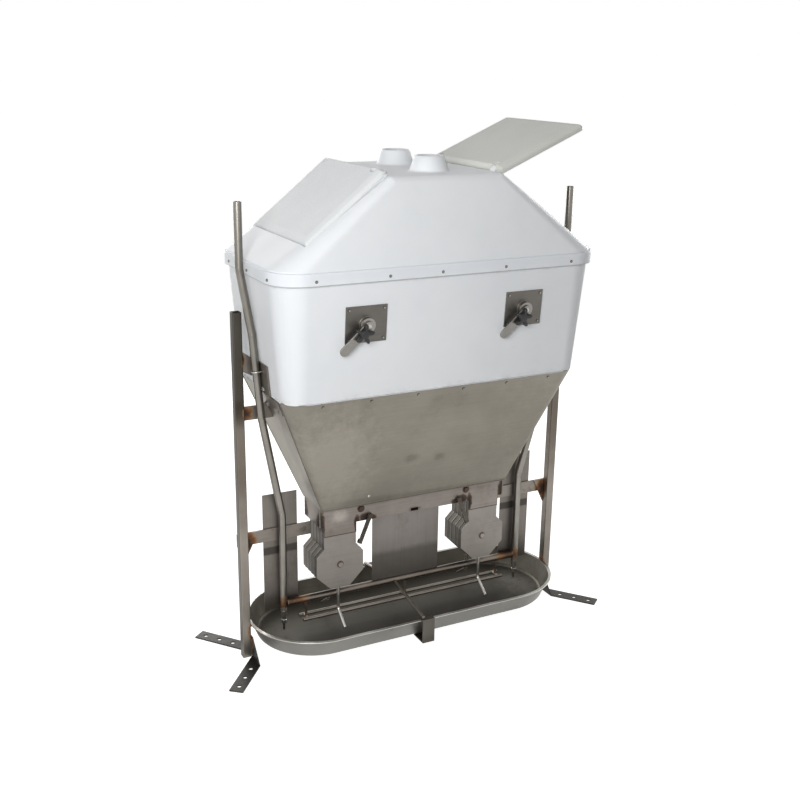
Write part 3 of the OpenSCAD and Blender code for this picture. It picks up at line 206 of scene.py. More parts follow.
def plasticLook(name, kit):
    look = Look(name)
    cloud = look.noise(scale=3.2, detail=4.0, rough=0.6)
    grain = look.noise(scale=420.0, detail=2.0, rough=0.5)
    streak = look.noise(scale=9.0, detail=3.0, rough=0.5, stretch=(3, 3, 0.25))
    dust = tone(*kit["dust"])
    colour = look.mix(cloud.rise(0.3, 0.75), tone(*kit["light"]), tone(*kit["shade"]))
    # painted shade: darker bluish lines at set heights round the lid's skirt
    for low, high, soft, share, shade in kit.get("paintedShadeLines", []):
        colour = look.mix(look.axis("z").between(low, high, soft) * share, colour, tone(*shade))
    for level, reach in kit.get("dusty", []):
        near = 1 - look.calc("ABSOLUTE", look.axis("z") - level, 0).rise(0.0, reach)
        grit = look.noise(scale=26.0, detail=5.0, rough=0.65).rise(0.45, 0.75)
        colour = look.mix(near * grit * moulding["dustShare"], colour, dust)
    scuff = look.noise(scale=34.0, detail=6.0, rough=0.7, turn=(0.3, 0.5, 0.2), stretch=(0.3, 1, 1))
    scuff = scuff.rise(0.64, 0.8)
    colour = look.mix(scuff * moulding["scuffShare"], colour, dust)
    rough = kit["rough"] + grain * 0.08 + scuff * 0.12 + streak * 0.05
    relief = grain * 0.25 + look.noise(scale=7.0, detail=2.0, rough=0.4) * 2.0
    if "cell" in kit:
        cells = look.specks(kit["cell"]).rise(0.1, 0.6)
        relief = relief + cells * 0.8
        colour = look.mix(cells * moulding["cellShare"], colour, dust)
    return look.finish({"Base Color": colour, "Roughness": rough, "Specular IOR Level": moulding["shine"],
                        "Normal": look.bump(relief, moulding["relief"], moulding["bump"]),
                        "Subsurface Weight": moulding["glow"], "Subsurface Radius": moulding["glowReach"],
                        "Subsurface Scale": moulding["glowScale"]})


# heat tints round welds, from the cold rim to the middle; the dark set runs on into painted shade
heatTints = {
    "warm": [(0.0, (140, 128, 112)), (0.25, (142, 108, 76)), (0.5, (104, 72, 50)), (0.72, (66, 50, 42)),
             (1.0, (48, 42, 40))],
    "dark": [(0.0, (120, 108, 97)), (0.2, (92, 76, 64)), (0.4, (62, 49, 41)), (0.6, (40, 33, 29)),
             (1.0, (28, 25, 23))],
}
rolling = {"cloudShare": 0.75, "grainShare": 0.6, "raggedMark": 1.1, "scorch": 0.7, "relief": 0.0006,
           "bump": 0.3}


# sheet, tube and bar steel: bands by place, smudges, painted light and shade, and heat tint
def steelLook(name, kit):
    look = Look(name)
    grain = look.noise(scale=1.0, detail=3.0, rough=0.6, stretch=kit["grain"])
    cloud = look.noise(scale=4.5, detail=4.0, rough=0.6).rise(0.3, 0.7)
    share = cloud * rolling["cloudShare"] + (grain - 0.5) * rolling["grainShare"]
    colour = look.mix(share, tone(*kit["light"]), tone(*kit["dark"]))
    stain = look.noise(kit.get("stainScale", 7.0), detail=6.0, rough=0.68, shift=(3.1, 1.7, 0.4))
    stain = stain.rise(0.54, 0.76)
    colour = look.mix(stain * kit["stain"], colour, tone(*kit["stainTone"]))
    rough = kit["rough"] + grain * 0.14 + stain * 0.1
    for axis, low, high, soft, share, shade in kit.get("bands", []):
        level = look.axis(axis) + look.jitter(scale=40.0, detail=3.0, rough=0.6) * soft
        colour = look.mix(level.between(low, high, soft) * share, colour, tone(*shade))
    # marks: smudges, and in some kits painted light and shade
    for centre, reach, share, shade in kit.get("marks", []):
        edge = look.jitter(scale=38.0, detail=5.0, rough=0.7) * rolling["raggedMark"]
        raggedMark = look.spot(centre, reach) + edge
        colour = look.mix(raggedMark.rise(0.05, 0.85) * share, colour, tone(*shade))
    heat = None
    for centre, reach in kit.get("heat", []):
        near = look.spot(centre, reach)
        heat = near if heat is None else heat.most(near)
    if heat is not None:
        heat = heat + look.jitter(scale=85.0, detail=4.0, rough=0.65) * rolling["scorch"]
        stops = heatTints[kit.get("tints", "warm")]
        tint = look.ramp(heat, [(place, tone(*shade)) for place, shade in stops])
        colour = look.mix(heat.rise(0.0, 0.35) * kit["tint"], colour, tint)
        rough = rough + heat.rise(0.0, 0.35) * 0.15
    pits = look.specks(240.0).rise(0.0, 0.22)
    wave = look.noise(scale=9.0, detail=3.0, rough=0.5) * kit.get("wave", 1.2)
    relief = grain * 0.5 + wave + pits * 0.25
    return look.finish({"Base Color": colour, "Metallic": 1.0, "Roughness": rough,
                        "Normal": look.bump(relief, rolling["relief"], rolling["bump"])})


knobPlastic = {"black": (26, 26, 28), "worn": (54, 53, 52), "rough": 0.34, "relief": 0.0003, "bump": 0.3}


def knobLook(kit):
    look = Look("knobBlack")
    grain = look.noise(scale=700.0, detail=2.0, rough=0.5)
    wear = look.noise(scale=90.0, detail=4.0, rough=0.6).rise(0.55, 0.75)
    colour = look.mix(wear * 0.5, tone(*kit["black"]), tone(*kit["worn"]))
    return look.finish({"Base Color": colour, "Roughness": kit["rough"] + grain * 0.1 + wear * 0.15,
                        "Normal": look.bump(grain, kit["relief"], kit["bump"])})


# grain is how often it changes along x, y and z; bands: axis, low, high, soft edge, share, shade
# marks: centre, reach, share, shade; heat: centre and reach of a weld's tint
steels = {
    "cone": {"light": (138, 134, 124), "dark": (122, 117, 108), "grain": (5, 300, 500), "rough": 0.46,
             "stain": 0.22, "stainTone": (112, 105, 95), "wave": 1.6,
             "bands": [("z", 0.42, 0.44, 0.003, 0.2, (84, 76, 68))],
             # painted light on the left of the front and painted shade on its right
             "marks": [((-0.3, -0.12, 0.6), (0.2, 0.2, 0.25), 0.5, (166, 161, 150)),
                       ((0.34, -0.12, 0.6), (0.22, 0.2, 0.3), 0.45, (112, 107, 98)),
                       ((-0.045, -0.119, 0.568), (0.035, 0.03, 0.022), 0.4, (88, 82, 74)),
                       ((0.042, -0.116, 0.559), (0.028, 0.03, 0.02), 0.4, (88, 82, 74)),
                       ((-0.16, -0.075, 0.446), (0.14, 0.03, 0.016), 0.25, (80, 70, 62)),
                       ((0.0, -0.075, 0.44), (0.2, 0.03, 0.012), 0.2, (84, 74, 66))]
             + bothEnds(((0.36, -0.04, 0.62), (0.06, 0.05, 0.16), 0.35, (104, 99, 92)))},
    "sheet": {"light": (88, 84, 78), "dark": (60, 57, 52), "grain": (420, 420, 6), "rough": 0.42,
              "stain": 0.55, "stainTone": (44, 39, 34), "stainScale": 22.0, "wave": 1.6},
    "strap": {"light": (118, 113, 105), "dark": (82, 78, 71), "grain": (420, 420, 6), "rough": 0.4,
              "stain": 0.5, "stainTone": (64, 56, 48), "stainScale": 30.0, "wave": 0.8},
    "outlet": {"light": (138, 131, 125), "dark": (110, 103, 97), "grain": (6, 420, 420), "rough": 0.44,
               "stain": 0.4, "stainTone": (92, 78, 66), "wave": 1.6, "tint": 0.85, "tints": "dark",
               # painted shadow line along the lower edge, where the covers begin
               "bands": [("z", 0.34, 0.3462, 0.0008, 0.75, (62, 54, 48))],
               # heat tints at the joints, running to near black round the latches as painted shade
               "heat": bothEnds(((0.293, -0.054, 0.385), (0.014, 0.03, 0.05)),
                                ((0.183, -0.054, 0.37), (0.012, 0.02, 0.035)),
                                ((0.158, -0.054, 0.384), (0.024, 0.02, 0.018)),
                                ((0.139, -0.054, 0.38), (0.02, 0.02, 0.014)),
                                ((0.293, 0.054, 0.385), (0.012, 0.03, 0.05))),
               "marks": [((-0.235, -0.054, 0.40), (0.035, 0.03, 0.03), 0.4, (190, 184, 176)),
                         # painted shade: a dark slot in the middle of the front
                         ((0.0, -0.054, 0.381), (0.026, 0.02, 0.012), 0.8, (66, 52, 44))]},
    "cover": {"light": (143, 138, 132), "dark": (130, 125, 119), "grain": (6, 420, 420), "rough": 0.48,
              "stain": 0.14, "stainTone": (112, 103, 94), "wave": 0.7},
    "plate": {"light": (108, 105, 100), "dark": (88, 85, 80), "grain": (6, 420, 420), "rough": 0.36,
              "stain": 0.25, "stainTone": (84, 77, 68), "wave": 0.8},
    "bright": {"light": (190, 187, 182), "dark": (156, 152, 146), "grain": (60, 60, 60), "rough": 0.24,
               "stain": 0.2, "stainTone": (112, 102, 92), "wave": 0.4},
    "endPlate": {"light": (126, 120, 114), "dark": (104, 99, 93), "grain": (420, 420, 6), "rough": 0.44,
                 "stain": 0.35, "stainTone": (88, 79, 71),
                 # the dark band below the lower bar is painted shade
                 "bands": [("z", 0.290, 0.313, 0.003, 0.8, (58, 54, 50)),
                           ("z", 0.10, 0.16, 0.03, 0.6, (66, 62, 56))]},
    "centre": {"light": (132, 127, 122), "dark": (114, 109, 104), "grain": (420, 420, 6), "rough": 0.44,
               "stain": 0.3, "stainTone": (92, 84, 76),
               "bands": [("z", 0.10, 0.235, 0.012, 0.6, (74, 70, 65))]},
    "troughIn": {"light": (104, 101, 92), "dark": (82, 78, 70), "grain": (5, 260, 420), "rough": 0.44,
                 "stain": 0.45, "stainTone": (56, 51, 44), "stainScale": 9.0, "wave": 1.8,
                 "bands": [("z", 0.03, 0.05, 0.003, 0.75, (54, 51, 45))],
                 # painted shade at the left end and faintly on the back wall under the drums, painted light
                 # at the right end
                 "marks": [((-0.43, 0.03, 0.075), (0.09, 0.16, 0.05), 0.6, (48, 44, 38)),
                           ((-0.2, 0.19, 0.075), (0.3, 0.05, 0.05), 0.15, (66, 62, 55)),
                           ((0.42, -0.02, 0.06), (0.12, 0.2, 0.06), 0.6, (122, 119, 111))]},
    "troughOut": {"light": (130, 129, 124), "dark": (110, 109, 104), "grain": (6, 6, 420), "rough": 0.4,
                  "stain": 0.4, "stainTone": (88, 84, 77), "stainScale": 18.0, "wave": 1.0, "tint": 0.8,
                  "heat": bothEnds(((0.491, 0.0, 0.08), (0.03, 0.06, 0.04))),
                  "marks": bothEnds(((0.475, -0.05, 0.07), (0.05, 0.09, 0.05), 0.6, (64, 57, 50)))},
    # brighter copy of the trough sheet for the rim: painted highlight
    "troughRim": {"light": (196, 194, 188), "dark": (166, 164, 158), "grain": (60, 60, 60), "rough": 0.3,
                  "stain": 0.4, "stainTone": (120, 114, 106), "stainScale": 24.0, "wave": 0.5,
                  "marks": bothEnds(((0.485, -0.02, 0.1), (0.03, 0.07, 0.04), 0.8, (70, 60, 52)))},
    "lever": {"light": (150, 147, 142), "dark": (112, 109, 104), "grain": (300, 60, 300), "rough": 0.28,
              "stain": 0.25, "stainTone": (118, 112, 104), "stainScale": 30.0, "wave": 0.5},
    "burnt": {"light": (92, 78, 70), "dark": (60, 50, 44), "grain": (500, 500, 500), "rough": 0.44,
              "stain": 0.5, "stainTone": (44, 36, 30), "stainScale": 60.0, "wave": 0.4},
    "pivot": {"light": (118, 104, 99), "dark": (92, 80, 76), "grain": (500, 500, 500), "rough": 0.42,
              "stain": 0.4, "stainTone": (74, 58, 54), "stainScale": 60.0, "wave": 0.4},
    "latch": {"light": (94, 90, 82), "dark": (58, 54, 48), "grain": (60, 60, 420), "rough": 0.42,
              "stain": 0.5, "stainTone": (52, 42, 34), "stainScale": 40.0, "wave": 0.8},
    "pipe": {"light": (142, 139, 132), "dark": (110, 106, 99), "grain": (420, 420, 8), "rough": 0.24,
             "stain": 0.3, "stainTone": (104, 96, 86), "wave": 0.6, "tint": 0.85,
             "heat": bothEnds(((0.388, 0.0, 0.139), (0.02, 0.02, 0.035)))},
    "water": {"light": (130, 122, 114), "dark": (94, 86, 78), "grain": (8, 420, 420), "rough": 0.3,
              "stain": 0.5, "stainTone": (70, 58, 48), "wave": 0.6, "tint": 0.85,
              "heat": bothEnds(((0.37, 0.0, 0.139), (0.07, 0.03, 0.03)))},
    "post": {"light": (140, 134, 126), "dark": (114, 108, 100), "grain": (420, 420, 5), "rough": 0.38,
             "stain": 0.3, "stainTone": (84, 74, 62), "wave": 0.9, "tint": 0.8,
             "bands": [("z", 0.45, 0.78, 0.1, 0.5, (84, 74, 60)),
                       ("z", 0.715, 1.2, 0.03, 0.85, (60, 57, 50)),
                       ("z", 0.695, 0.76, 0.02, 0.5, (50, 40, 30)),
                       # painted shade: the outer face of the left post and the inner face of the right post
                       # darker
                       ("x", -0.53, -0.5158, 0.0004, 0.7, (62, 59, 54)),
                       ("x", 0.4914, 0.4922, 0.0004, 0.5, (66, 62, 56))],
             "heat": bothEnds(((0.491, 0.0, 0.723), (0.012, 0.02, 0.026)),
                              ((0.491, 0.012, 0.345), (0.014, 0.02, 0.04)),
                              ((0.491, 0.0, 0.86), (0.008, 0.02, 0.02)),
                              ((0.491, 0.0, 0.08), (0.016, 0.03, 0.04)))},
    "bar": {"light": (138, 132, 125), "dark": (102, 96, 88), "grain": (6, 420, 420), "rough": 0.42,
            "stain": 0.5, "stainTone": (70, 62, 54), "stainScale": 22.0, "wave": 1.0, "tint": 0.95,
            "heat": bothEnds(((0.489, 0.0, 0.722), (0.03, 0.02, 0.03)),
                             ((0.484, 0.0125, 0.34), (0.03, 0.02, 0.05)),
                             ((0.489, 0.0, 0.87), (0.007, 0.02, 0.02)))},
    "strip": {"light": (66, 64, 61), "dark": (52, 50, 47), "grain": (60, 60, 60), "rough": 0.44,
              "stain": 0.4, "stainTone": (50, 45, 40), "wave": 0.9, "tint": 0.7,
              "heat": bothEnds(((0.489, 0.012, 0.05), (0.012, 0.02, 0.03)),
                               ((0.489, -0.012, 0.05), (0.012, 0.02, 0.03)))},
    "hook": {"light": (96, 92, 86), "dark": (74, 70, 64), "grain": (420, 420, 6), "rough": 0.42,
             "stain": 0.45, "stainTone": (74, 66, 57), "wave": 0.9,
             "bands": [("z", 0.02, 0.05, 0.01, 0.5, (70, 66, 60))]},
    "rod": {"light": (146, 139, 130), "dark": (104, 97, 88), "grain": (60, 60, 60), "rough": 0.3,
            "stain": 0.45, "stainTone": (84, 70, 58), "wave": 0.6, "tint": 0.7,
            "heat": bothEnds(((0.32, 0.0, 0.11), (0.02, 0.02, 0.03)))},
    "bolt": {"light": (150, 146, 140), "dark": (116, 111, 105), "grain": (500, 500, 500), "rough": 0.32,
             "stain": 0.3, "stainTone": (84, 74, 64), "wave": 0.3},
    "washer": {"light": (70, 70, 74), "dark": (52, 52, 55), "grain": (500, 500, 500), "rough": 0.5,
               "stain": 0.3, "stainTone": (40, 38, 36), "wave": 0.3},
    "weld": {"light": (120, 108, 94), "dark": (78, 66, 56), "grain": (500, 500, 500), "rough": 0.4,
             "stain": 0.6, "stainTone": (60, 44, 34), "stainScale": 40.0, "wave": 0.5},
    "seam": {"light": (128, 123, 115), "dark": (86, 81, 74), "grain": (500, 500, 500), "rough": 0.42,
             "stain": 0.5, "stainTone": (58, 52, 46), "stainScale": 60.0, "wave": 0.5},
}
# the open hatch's moulding is the darker copy, painted shade
looks = {"white": plasticLook("whiteMoulding", whitePlastic), "knob": knobLook(knobPlastic),
         "leftHatch": plasticLook("shutHatchMoulding", leftHatchPlastic),
         "rightHatch": plasticLook("openHatchPaintedShade", openHatchShadedPlastic)}
for lookName, steelKit in steels.items():
    looks[lookName] = steelLook(lookName + "Steel", steelKit)
print("finishes made,", len(looks))


# sizes from here on are in millimetres and degrees, and points in metres
def bodyOf(node):
    return nodes[node]["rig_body"]


def slotOf(node):
    return next(s["material_slot"] for s in frame["record"]["subparts"] if s["node"] == node)


def jointOf(name):
    return next(j for j in frame["joints"] if j["name"] == name)


# finished mesh of one piece; faces carry the number of their look
def addPiece(name, shape, pieceLooks, node=None, sharp=38):
    bmesh.ops.recalc_face_normals(shape, faces=shape.faces)
    mesh = bpy.data.meshes.new(name)
    shape.to_mesh(mesh)
    shape.free()
    mesh.polygons.foreach_set("use_smooth", [True] * len(mesh.polygons))
    mesh.set_sharp_from_angle(angle=math.radians(sharp))
    piece = bpy.data.objects.new(name, mesh)
    bpy.context.scene.collection.objects.link(piece)
    for look in pieceLooks:
        mesh.materials.append(looks[look])
    flat = piece.modifiers.new("flatFaces", "WEIGHTED_NORMAL")
    flat.keep_sharp = True
    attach(piece, bodyOf(node) if node else "stand")
    if node:
        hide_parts(node)
        slotOf(node)


# copies of solids: what is merged, what counts as flat, and which edges are folds
copying = {"merge": 0.02, "mergeTurned": 0.005, "flat": 0.6, "fold": 28, "foldAfterRounds": 34}


def solidOf(node):
    shape = bmesh.new()
    shape.from_mesh(nodes[node].data)
    bmesh.ops.remove_doubles(shape, verts=shape.verts, dist=copying["merge"] * mm)
    bmesh.ops.dissolve_limit(shape, angle_limit=math.radians(copying["flat"]), verts=shape.verts,
                             edges=shape.edges)
    return shape


def rounded(shape, edges, width, segments=2):
    bmesh.ops.bevel(shape, geom=edges, offset=width * mm, offset_type="OFFSET", segments=segments,
                    profile=0.5, affect="EDGES", clamp_overlap=False, material=-1, loop_slide=True)


def foldedEdges(shape, least, wanted=None):  # wanted is asked with the edge and its middle in millimetres
    least = math.radians(least)
    folds = [e for e in shape.edges if len(e.link_faces) == 2 and e.calc_face_angle(0) > least]
    return [e for e in folds if wanted is None or wanted((e.verts[0].co + e.verts[1].co) / 2 / mm, e)]


# copy of a solid with its edges eased: first the wide rounds, each a choice of edges, a radius and
# its segments, then the rest
def eased(node, width, pieceLooks, wide=(), paint=None, sharp=38, small=None):
    shape = solidOf(node)
    for wanted, wideWidth, segments in wide:
        rounded(shape, foldedEdges(shape, copying["fold"], wanted), wideWidth, segments)
    rounded(shape, foldedEdges(shape, copying["foldAfterRounds" if wide else "fold"], small), width)
    if paint:
        shape.normal_update()
        for face in shape.faces:
            face.material_index = paint(face)
    addPiece(node + "_eased", shape, pieceLooks, node, sharp)


def islandsOf(shape):
    left = set(shape.verts)
    while left:
        group, todo = set(), [left.pop()]
        while todo:
            vert = todo.pop()
            group.add(vert)
            fresh = [e.other_vert(vert) for e in vert.link_edges]
            todo += [v for v in fresh if v in left]
            left.difference_update(fresh)
        yield group


# outer face of each screw head: its middle and the way it looks
def headsOf(node):
    shape = solidOf(node)
    heads = []
    for group in islandsOf(shape):
        faces = {f for v in group for f in v.link_faces}
        cap = max(faces, key=lambda f: f.calc_area())
        heads.append((cap.calc_center_median(), cap.normal.copy()))
    shape.free()
    return sorted(heads, key=lambda h: tuple(round(c, 4) for c in h[0]))


def frameAt(point, way):
    return Matrix.Translation(point) @ Vector((0, 0, 1)).rotation_difference(way).to_matrix().to_4x4()


def setDown(shape, before, at, look):  # gives the faces made since then their look and their place
    fresh = [f for f in shape.faces if f not in before]
    for face in fresh:
        face.material_index = look
    verts = list({v for f in fresh for v in f.verts})
    bmesh.ops.transform(shape, matrix=at, verts=verts)


def turned(shape, profile, steps, at, look=0):  # profile of radius and height, spun about the axis
    before = set(shape.faces)
    verts = [shape.verts.new((r * mm, 0, z * mm)) for r, z in profile]
    edges = [shape.edges.new(pair) for pair in zip(verts, verts[1:])]
    bmesh.ops.spin(shape, geom=verts + edges, cent=(0, 0, 0), axis=(0, 0, 1), angle=2 * math.pi,
                   steps=steps, use_merge=True, use_duplicate=False)
    group = list({v for f in shape.faces if f not in before for v in f.verts})
    bmesh.ops.remove_doubles(shape, verts=group, dist=copying["mergeTurned"] * mm)
    setDown(shape, before, at, look)


def prism(shape, count, radius, low, high, ease, at, look=0, turn=0.0):
    before = set(shape.faces)
    middle = Matrix.Translation((0, 0, (low + high) / 2 * mm)) @ Matrix.Rotation(turn, 4, "Z")
    made = bmesh.ops.create_cone(shape, cap_ends=True, segments=count, radius1=radius * mm,
                                 radius2=radius * mm, depth=(high - low) * mm, matrix=middle)
    if ease:
        rounded(shape, list({e for v in made["verts"] for e in v.link_edges}), ease)
    setDown(shape, before, at, look)


# screws with a dark sealing washer and a hexagon head; profiles are radius and height
smallScrew = {"lengths": {"skirt_screws": 18, "seam_screws": 10, "plate_screws": 12},
              "washer": [(0, -0.2), (4.0, -0.2), (4.0, 0.35), (3.5, 0.7), (0, 0.7)], "washerRound": 20,
              "shankR": 2.0, "shankRound": 12, "capUp": 2.5,
              "hexR": 3.1, "hexLow": 0.56, "hexTop": 2.4, "ease": 0.35}


def addScrews(node, kit):
    shape = bmesh.new()
    r, deep = kit["shankR"], -kit["lengths"][node]
    for middle, way in headsOf(node):
        at = frameAt(middle - way * kit["capUp"] * mm, way)
        turned(shape, kit["washer"], kit["washerRound"], at, 1)
        turn = chance.uniform(0, 1)
        prism(shape, 6, kit["hexR"], kit["hexLow"], kit["hexTop"], kit["ease"], at, turn=turn)
        turned(shape, [(0, deep), (r, deep), (r, 0), (0, 0)], kit["shankRound"], at)
    addPiece(node + "_made", shape, ("bolt", "washer"), node)


for screwNode in smallScrew["lengths"]:
    addScrews(screwNode, smallScrew)
print("screws made")

# star knobs: five rounded arms on a domed hub; rings are share of the radius and of the thickness
starKnob = {"arms": 5, "reach": 27.0, "waist": 11.5, "thick": 14.0, "lift": 8.0, "arm": 0.44, "web": 0.12,
            "start": 223.0, "points": 100, "inset": 9.0, "insetShare": 0.8,
            "rings": [(0.80, 0.0), (0.93, 0.06), (1.0, 0.25), (1.0, 0.58), (0.95, 0.76), (0.84, 0.86),
                      (0.6, 0.92)],
            "hub": [(0, 8.0), (10.5, 8.0), (10.5, 20.6), (9.0, 21.72), (0, 22.0)], "hubRound": 32,
            "stud": [(0, 0), (4.0, 0), (4.0, 9.0), (0, 9.0)], "studRound": 20}


def knobRadius(kit, angle):
    step = 2 * math.pi / kit["arms"]
    off = abs((angle + step / 2) % step - step / 2) / (step / 2)
    share = max(0.0, 1 - (off / kit["arm"]) ** 2) ** 0.5
    return kit["waist"] + (kit["reach"] - kit["waist"]) * max(share, kit["web"] * (1 - off))


def addKnob(side, kit):
    joint = jointOf(side + "_knob_turn")
    out = Vector(joint["axis"]).normalized()
    across = Vector((1, 0, 0))
    axes = Matrix((across, out.cross(across), out)).transposed().to_4x4()
    start = math.radians(kit["start"])
    shape = bmesh.new()
    bmesh.ops.create_circle(shape, cap_ends=True, segments=kit["points"], radius=mm,
                            matrix=Matrix.Rotation(start, 4, "Z"))
    ring, edges = shape.verts[:], shape.edges[:]
    for share, height in kit["rings"]:
        for vert in ring:
            turn = math.atan2(vert.co.y, vert.co.x)
            edge = knobRadius(kit, turn - start)
            r = edge - (1 - share) * min(kit["inset"], edge * kit["insetShare"])
            z = kit["lift"] + kit["thick"] * height
            vert.co = Vector((r * math.cos(turn), r * math.sin(turn), z)) * mm
        if height < kit["rings"][-1][1]:
            grown = bmesh.ops.extrude_edge_only(shape, edges=edges)["geom"]
            ring = [g for g in grown if isinstance(g, bmesh.types.BMVert)]
            edges = [g for g in grown if isinstance(g, bmesh.types.BMEdge)]
    bmesh.ops.edgeloop_fill(shape, edges=edges)
    turned(shape, kit["hub"], kit["hubRound"], Matrix())
    turned(shape, kit["stud"], kit["studRound"], Matrix(), 1)
    bmesh.ops.transform(shape, matrix=Matrix.Translation(joint["pos_m"]) @ axes, verts=shape.verts)
    shape.normal_update()
    addPiece(side + "_knob_made", shape, ("knob", "bolt"), side + "_knob", 42)


for side in sides:
    addKnob(side, starKnob)
print("knobs made")

# drinker nozzles: hexagon collar, grooved body, guide mouth
nozzle = {"hexR": 9.0, "hexLow": 117.0, "hexTop": 128.0, "ease": 0.5, "round": 32,
          "body": [(3.56, 76.2), (6.2, 76.2), (7.0, 77.4), (7.0, 88.0), (6.0, 89.0), (6.0, 92.0),
                   (7.0, 93.0), (7.0, 104.0), (8.8, 105.0), (8.8, 116.9), (7.6, 117.4), (3.56, 117.4),
                   (3.56, 76.2)]}


def addNozzles(kit):
    shape = bmesh.new()
    for side in sides:
        low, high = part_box(side + "_drinker_pin")
        at = Matrix.Translation(((low.x + high.x) / 2, 0, 0))
        turned(shape, kit["body"], kit["round"], at)
        prism(shape, 6, kit["hexR"], kit["hexLow"], kit["hexTop"], kit["ease"], at)
    addPiece("drinker_bodies_made", shape, ("bright",), "drinker_bodies")


addNozzles(nozzle)
print("nozzles made")

# flat washers under the hexagon bolts: radius, thickness and the number of their look
flatWasher = {"bolts": {"outlet_bolts": (11.0, 1.2, 2), "bracket_bolts": (11.0, 1.2, 0),
                        "pivot_bolts": (10.5, 1.4, 1)},
              "through": "pivot_bolts", "headHigh": 5.0, "bore": 4.0, "edge": 0.5, "shoulder": 0.6,
              "round": 28}


def addWashers(kit):
    shape = bmesh.new()
    bore = kit["bore"]
    for node, (r, thick, look) in kit["bolts"].items():
        shoulder = thick * kit["shoulder"]
        profile = [(bore, 0), (r, 0), (r, shoulder), (r - kit["edge"], thick), (bore, thick), (bore, 0)]
        for middle, way in headsOf(node):
            ends = [(middle, way)]
            if node == kit["through"]:
                ends.append((Vector((middle.x, -middle.y, middle.z)), -way))
            for point, out in ends:
                at = frameAt(point - out * kit["headHigh"] * mm, out)
                turned(shape, profile, kit["round"], at, look)
    addPiece("flat_washers", shape, ("bolt", "pivot", "burnt"))


addWashers(flatWasher)
print("washers made")

# stud low on the left of the cone
coneStud = {"place": (-159.0, -79.2, 459.0), "way": (0.0, -0.94, -0.34),
            "foot": [(0, -0.6), (7.0, -0.6), (7.0, 0.5), (6.3, 0.9), (0, 0.9)], "footRound": 28,
            "head": [(0, 0), (4.2, 0), (4.2, 2.4), (3.15, 3.6), (0, 4.0)], "headRound": 24}


def addStud(kit):
    shape = bmesh.new()
    at = frameAt(Vector(kit["place"]) * mm, Vector(kit["way"]).normalized())
    turned(shape, kit["foot"], kit["footRound"], at, 1)
    turned(shape, kit["head"], kit["headRound"], at)
    addPiece("cone_stud", shape, ("bright", "bolt"))


addStud(coneStud)
print("cone stud made")

# strips folded round the drums of the dispensers; the path starts from the pivot
drumStrip = {"at": (-34.0, -11.0, 11.0, 34.0), "wide": 4.0, "thick": 0.7,
             "path": [(49, 112), (49, 53), (72, 30), (72, -30), (30, -72)]}


def addStrips(kit):
    shape = bmesh.new()
    for side in sides:
        pivot = Vector(jointOf(side + "_rocker_swing")["pos_m"])
        for s in (-1, 1):
            for y in kit["at"]:
                points = [pivot + Vector((s * x, y - kit["wide"] / 2, z)) * mm for x, z in kit["path"]]
                line = [shape.verts.new(point) for point in points]
                edges = [shape.edges.new(pair) for pair in zip(line, line[1:])]
                grown = bmesh.ops.extrude_edge_only(shape, edges=edges)["geom"]
                ribbon = [g for g in grown if isinstance(g, bmesh.types.BMFace)]
                far = [g for g in grown if isinstance(g, bmesh.types.BMVert)]
                bmesh.ops.translate(shape, vec=(0, kit["wide"] * mm, 0), verts=far)
                shape.normal_update()
                bmesh.ops.solidify(shape, geom=ribbon, thickness=s * kit["thick"] * mm)
    addPiece("drum_strips", shape, ("strap",), sharp=30)


addStrips(drumStrip)
print("drum strips made")

# weld beads: start, end and radius; rings: centre, axis, ring radius and bead radius
welds = {
    "frame": [((s * 491.5, y, a), (s * 491.5, y, b), 2.2) for s in (-1, 1) for y in (-2.4, 2.4)
              for a, b in ((840, 891), (703, 740))]
    + [((s * 491.5, 12.3, 300), (s * 491.5, 12.3, 370), 2.4) for s in (-1, 1)]
    + [((s * 492, 12.4, 371.2), (s * 515, 12.4, 371.2), 2.0) for s in (-1, 1)]
    + [((s * 490.6, y, 6), (s * 490.6, y, 56), 2.4) for s in (-1, 1) for y in (-13.2, 13.2)]
    + [((s * 490.8, -10, 95.5), (s * 490.8, 10, 95.5), 3.0) for s in (-1, 1)]
    + [((s * 297.6, 16, 335), (s * 297.6, 16, 370), 2.0) for s in (-1, 1)]
    + [((s * 343, 18.2, z), (s * 433, 18.2, z), 1.4) for s in (-1, 1) for z in (334, 370.6)],
    "frameRings": [ring for s in (-1, 1) for ring in (((s * 377.2, 0, 139), (1, 0, 0), 10.4, 2.0),
                                                      ((s * 388, 0, 128.4), (0, 0, 1), 9.6, 1.5))],
    "seam": [((s * 297, t * 68, 433), (s * 442, t * 142.5, 786), 1.6) for s in (-1, 1) for t in (-1, 1)]
    + [((s * 297, t * 54.4, 376), (s * 297, t * 54.4, 430), 1.5) for s in (-1, 1) for t in (-1, 1)]
    + [((-296, t * 70, 430), (296, t * 70, 430), 1.3) for t in (-1, 1)],
    "sides": 8, "step": 0.45, "ripple": 1.45, "tip": 0.5, "swell": 0.2, "rough": 0.1,
    "ringSides": 7, "ringSteps": 44, "ringRipple": 2.1,
}


def swellAt(i, ripple, kit):
    return 1 + kit["swell"] * math.sin(i * ripple) + chance.uniform(-kit["rough"], kit["rough"])


def alongWay(point, way):
    side = way.orthogonal().normalized()
    return Matrix.Translation(point) @ Matrix((side, way.cross(side), way)).transposed().to_4x4()


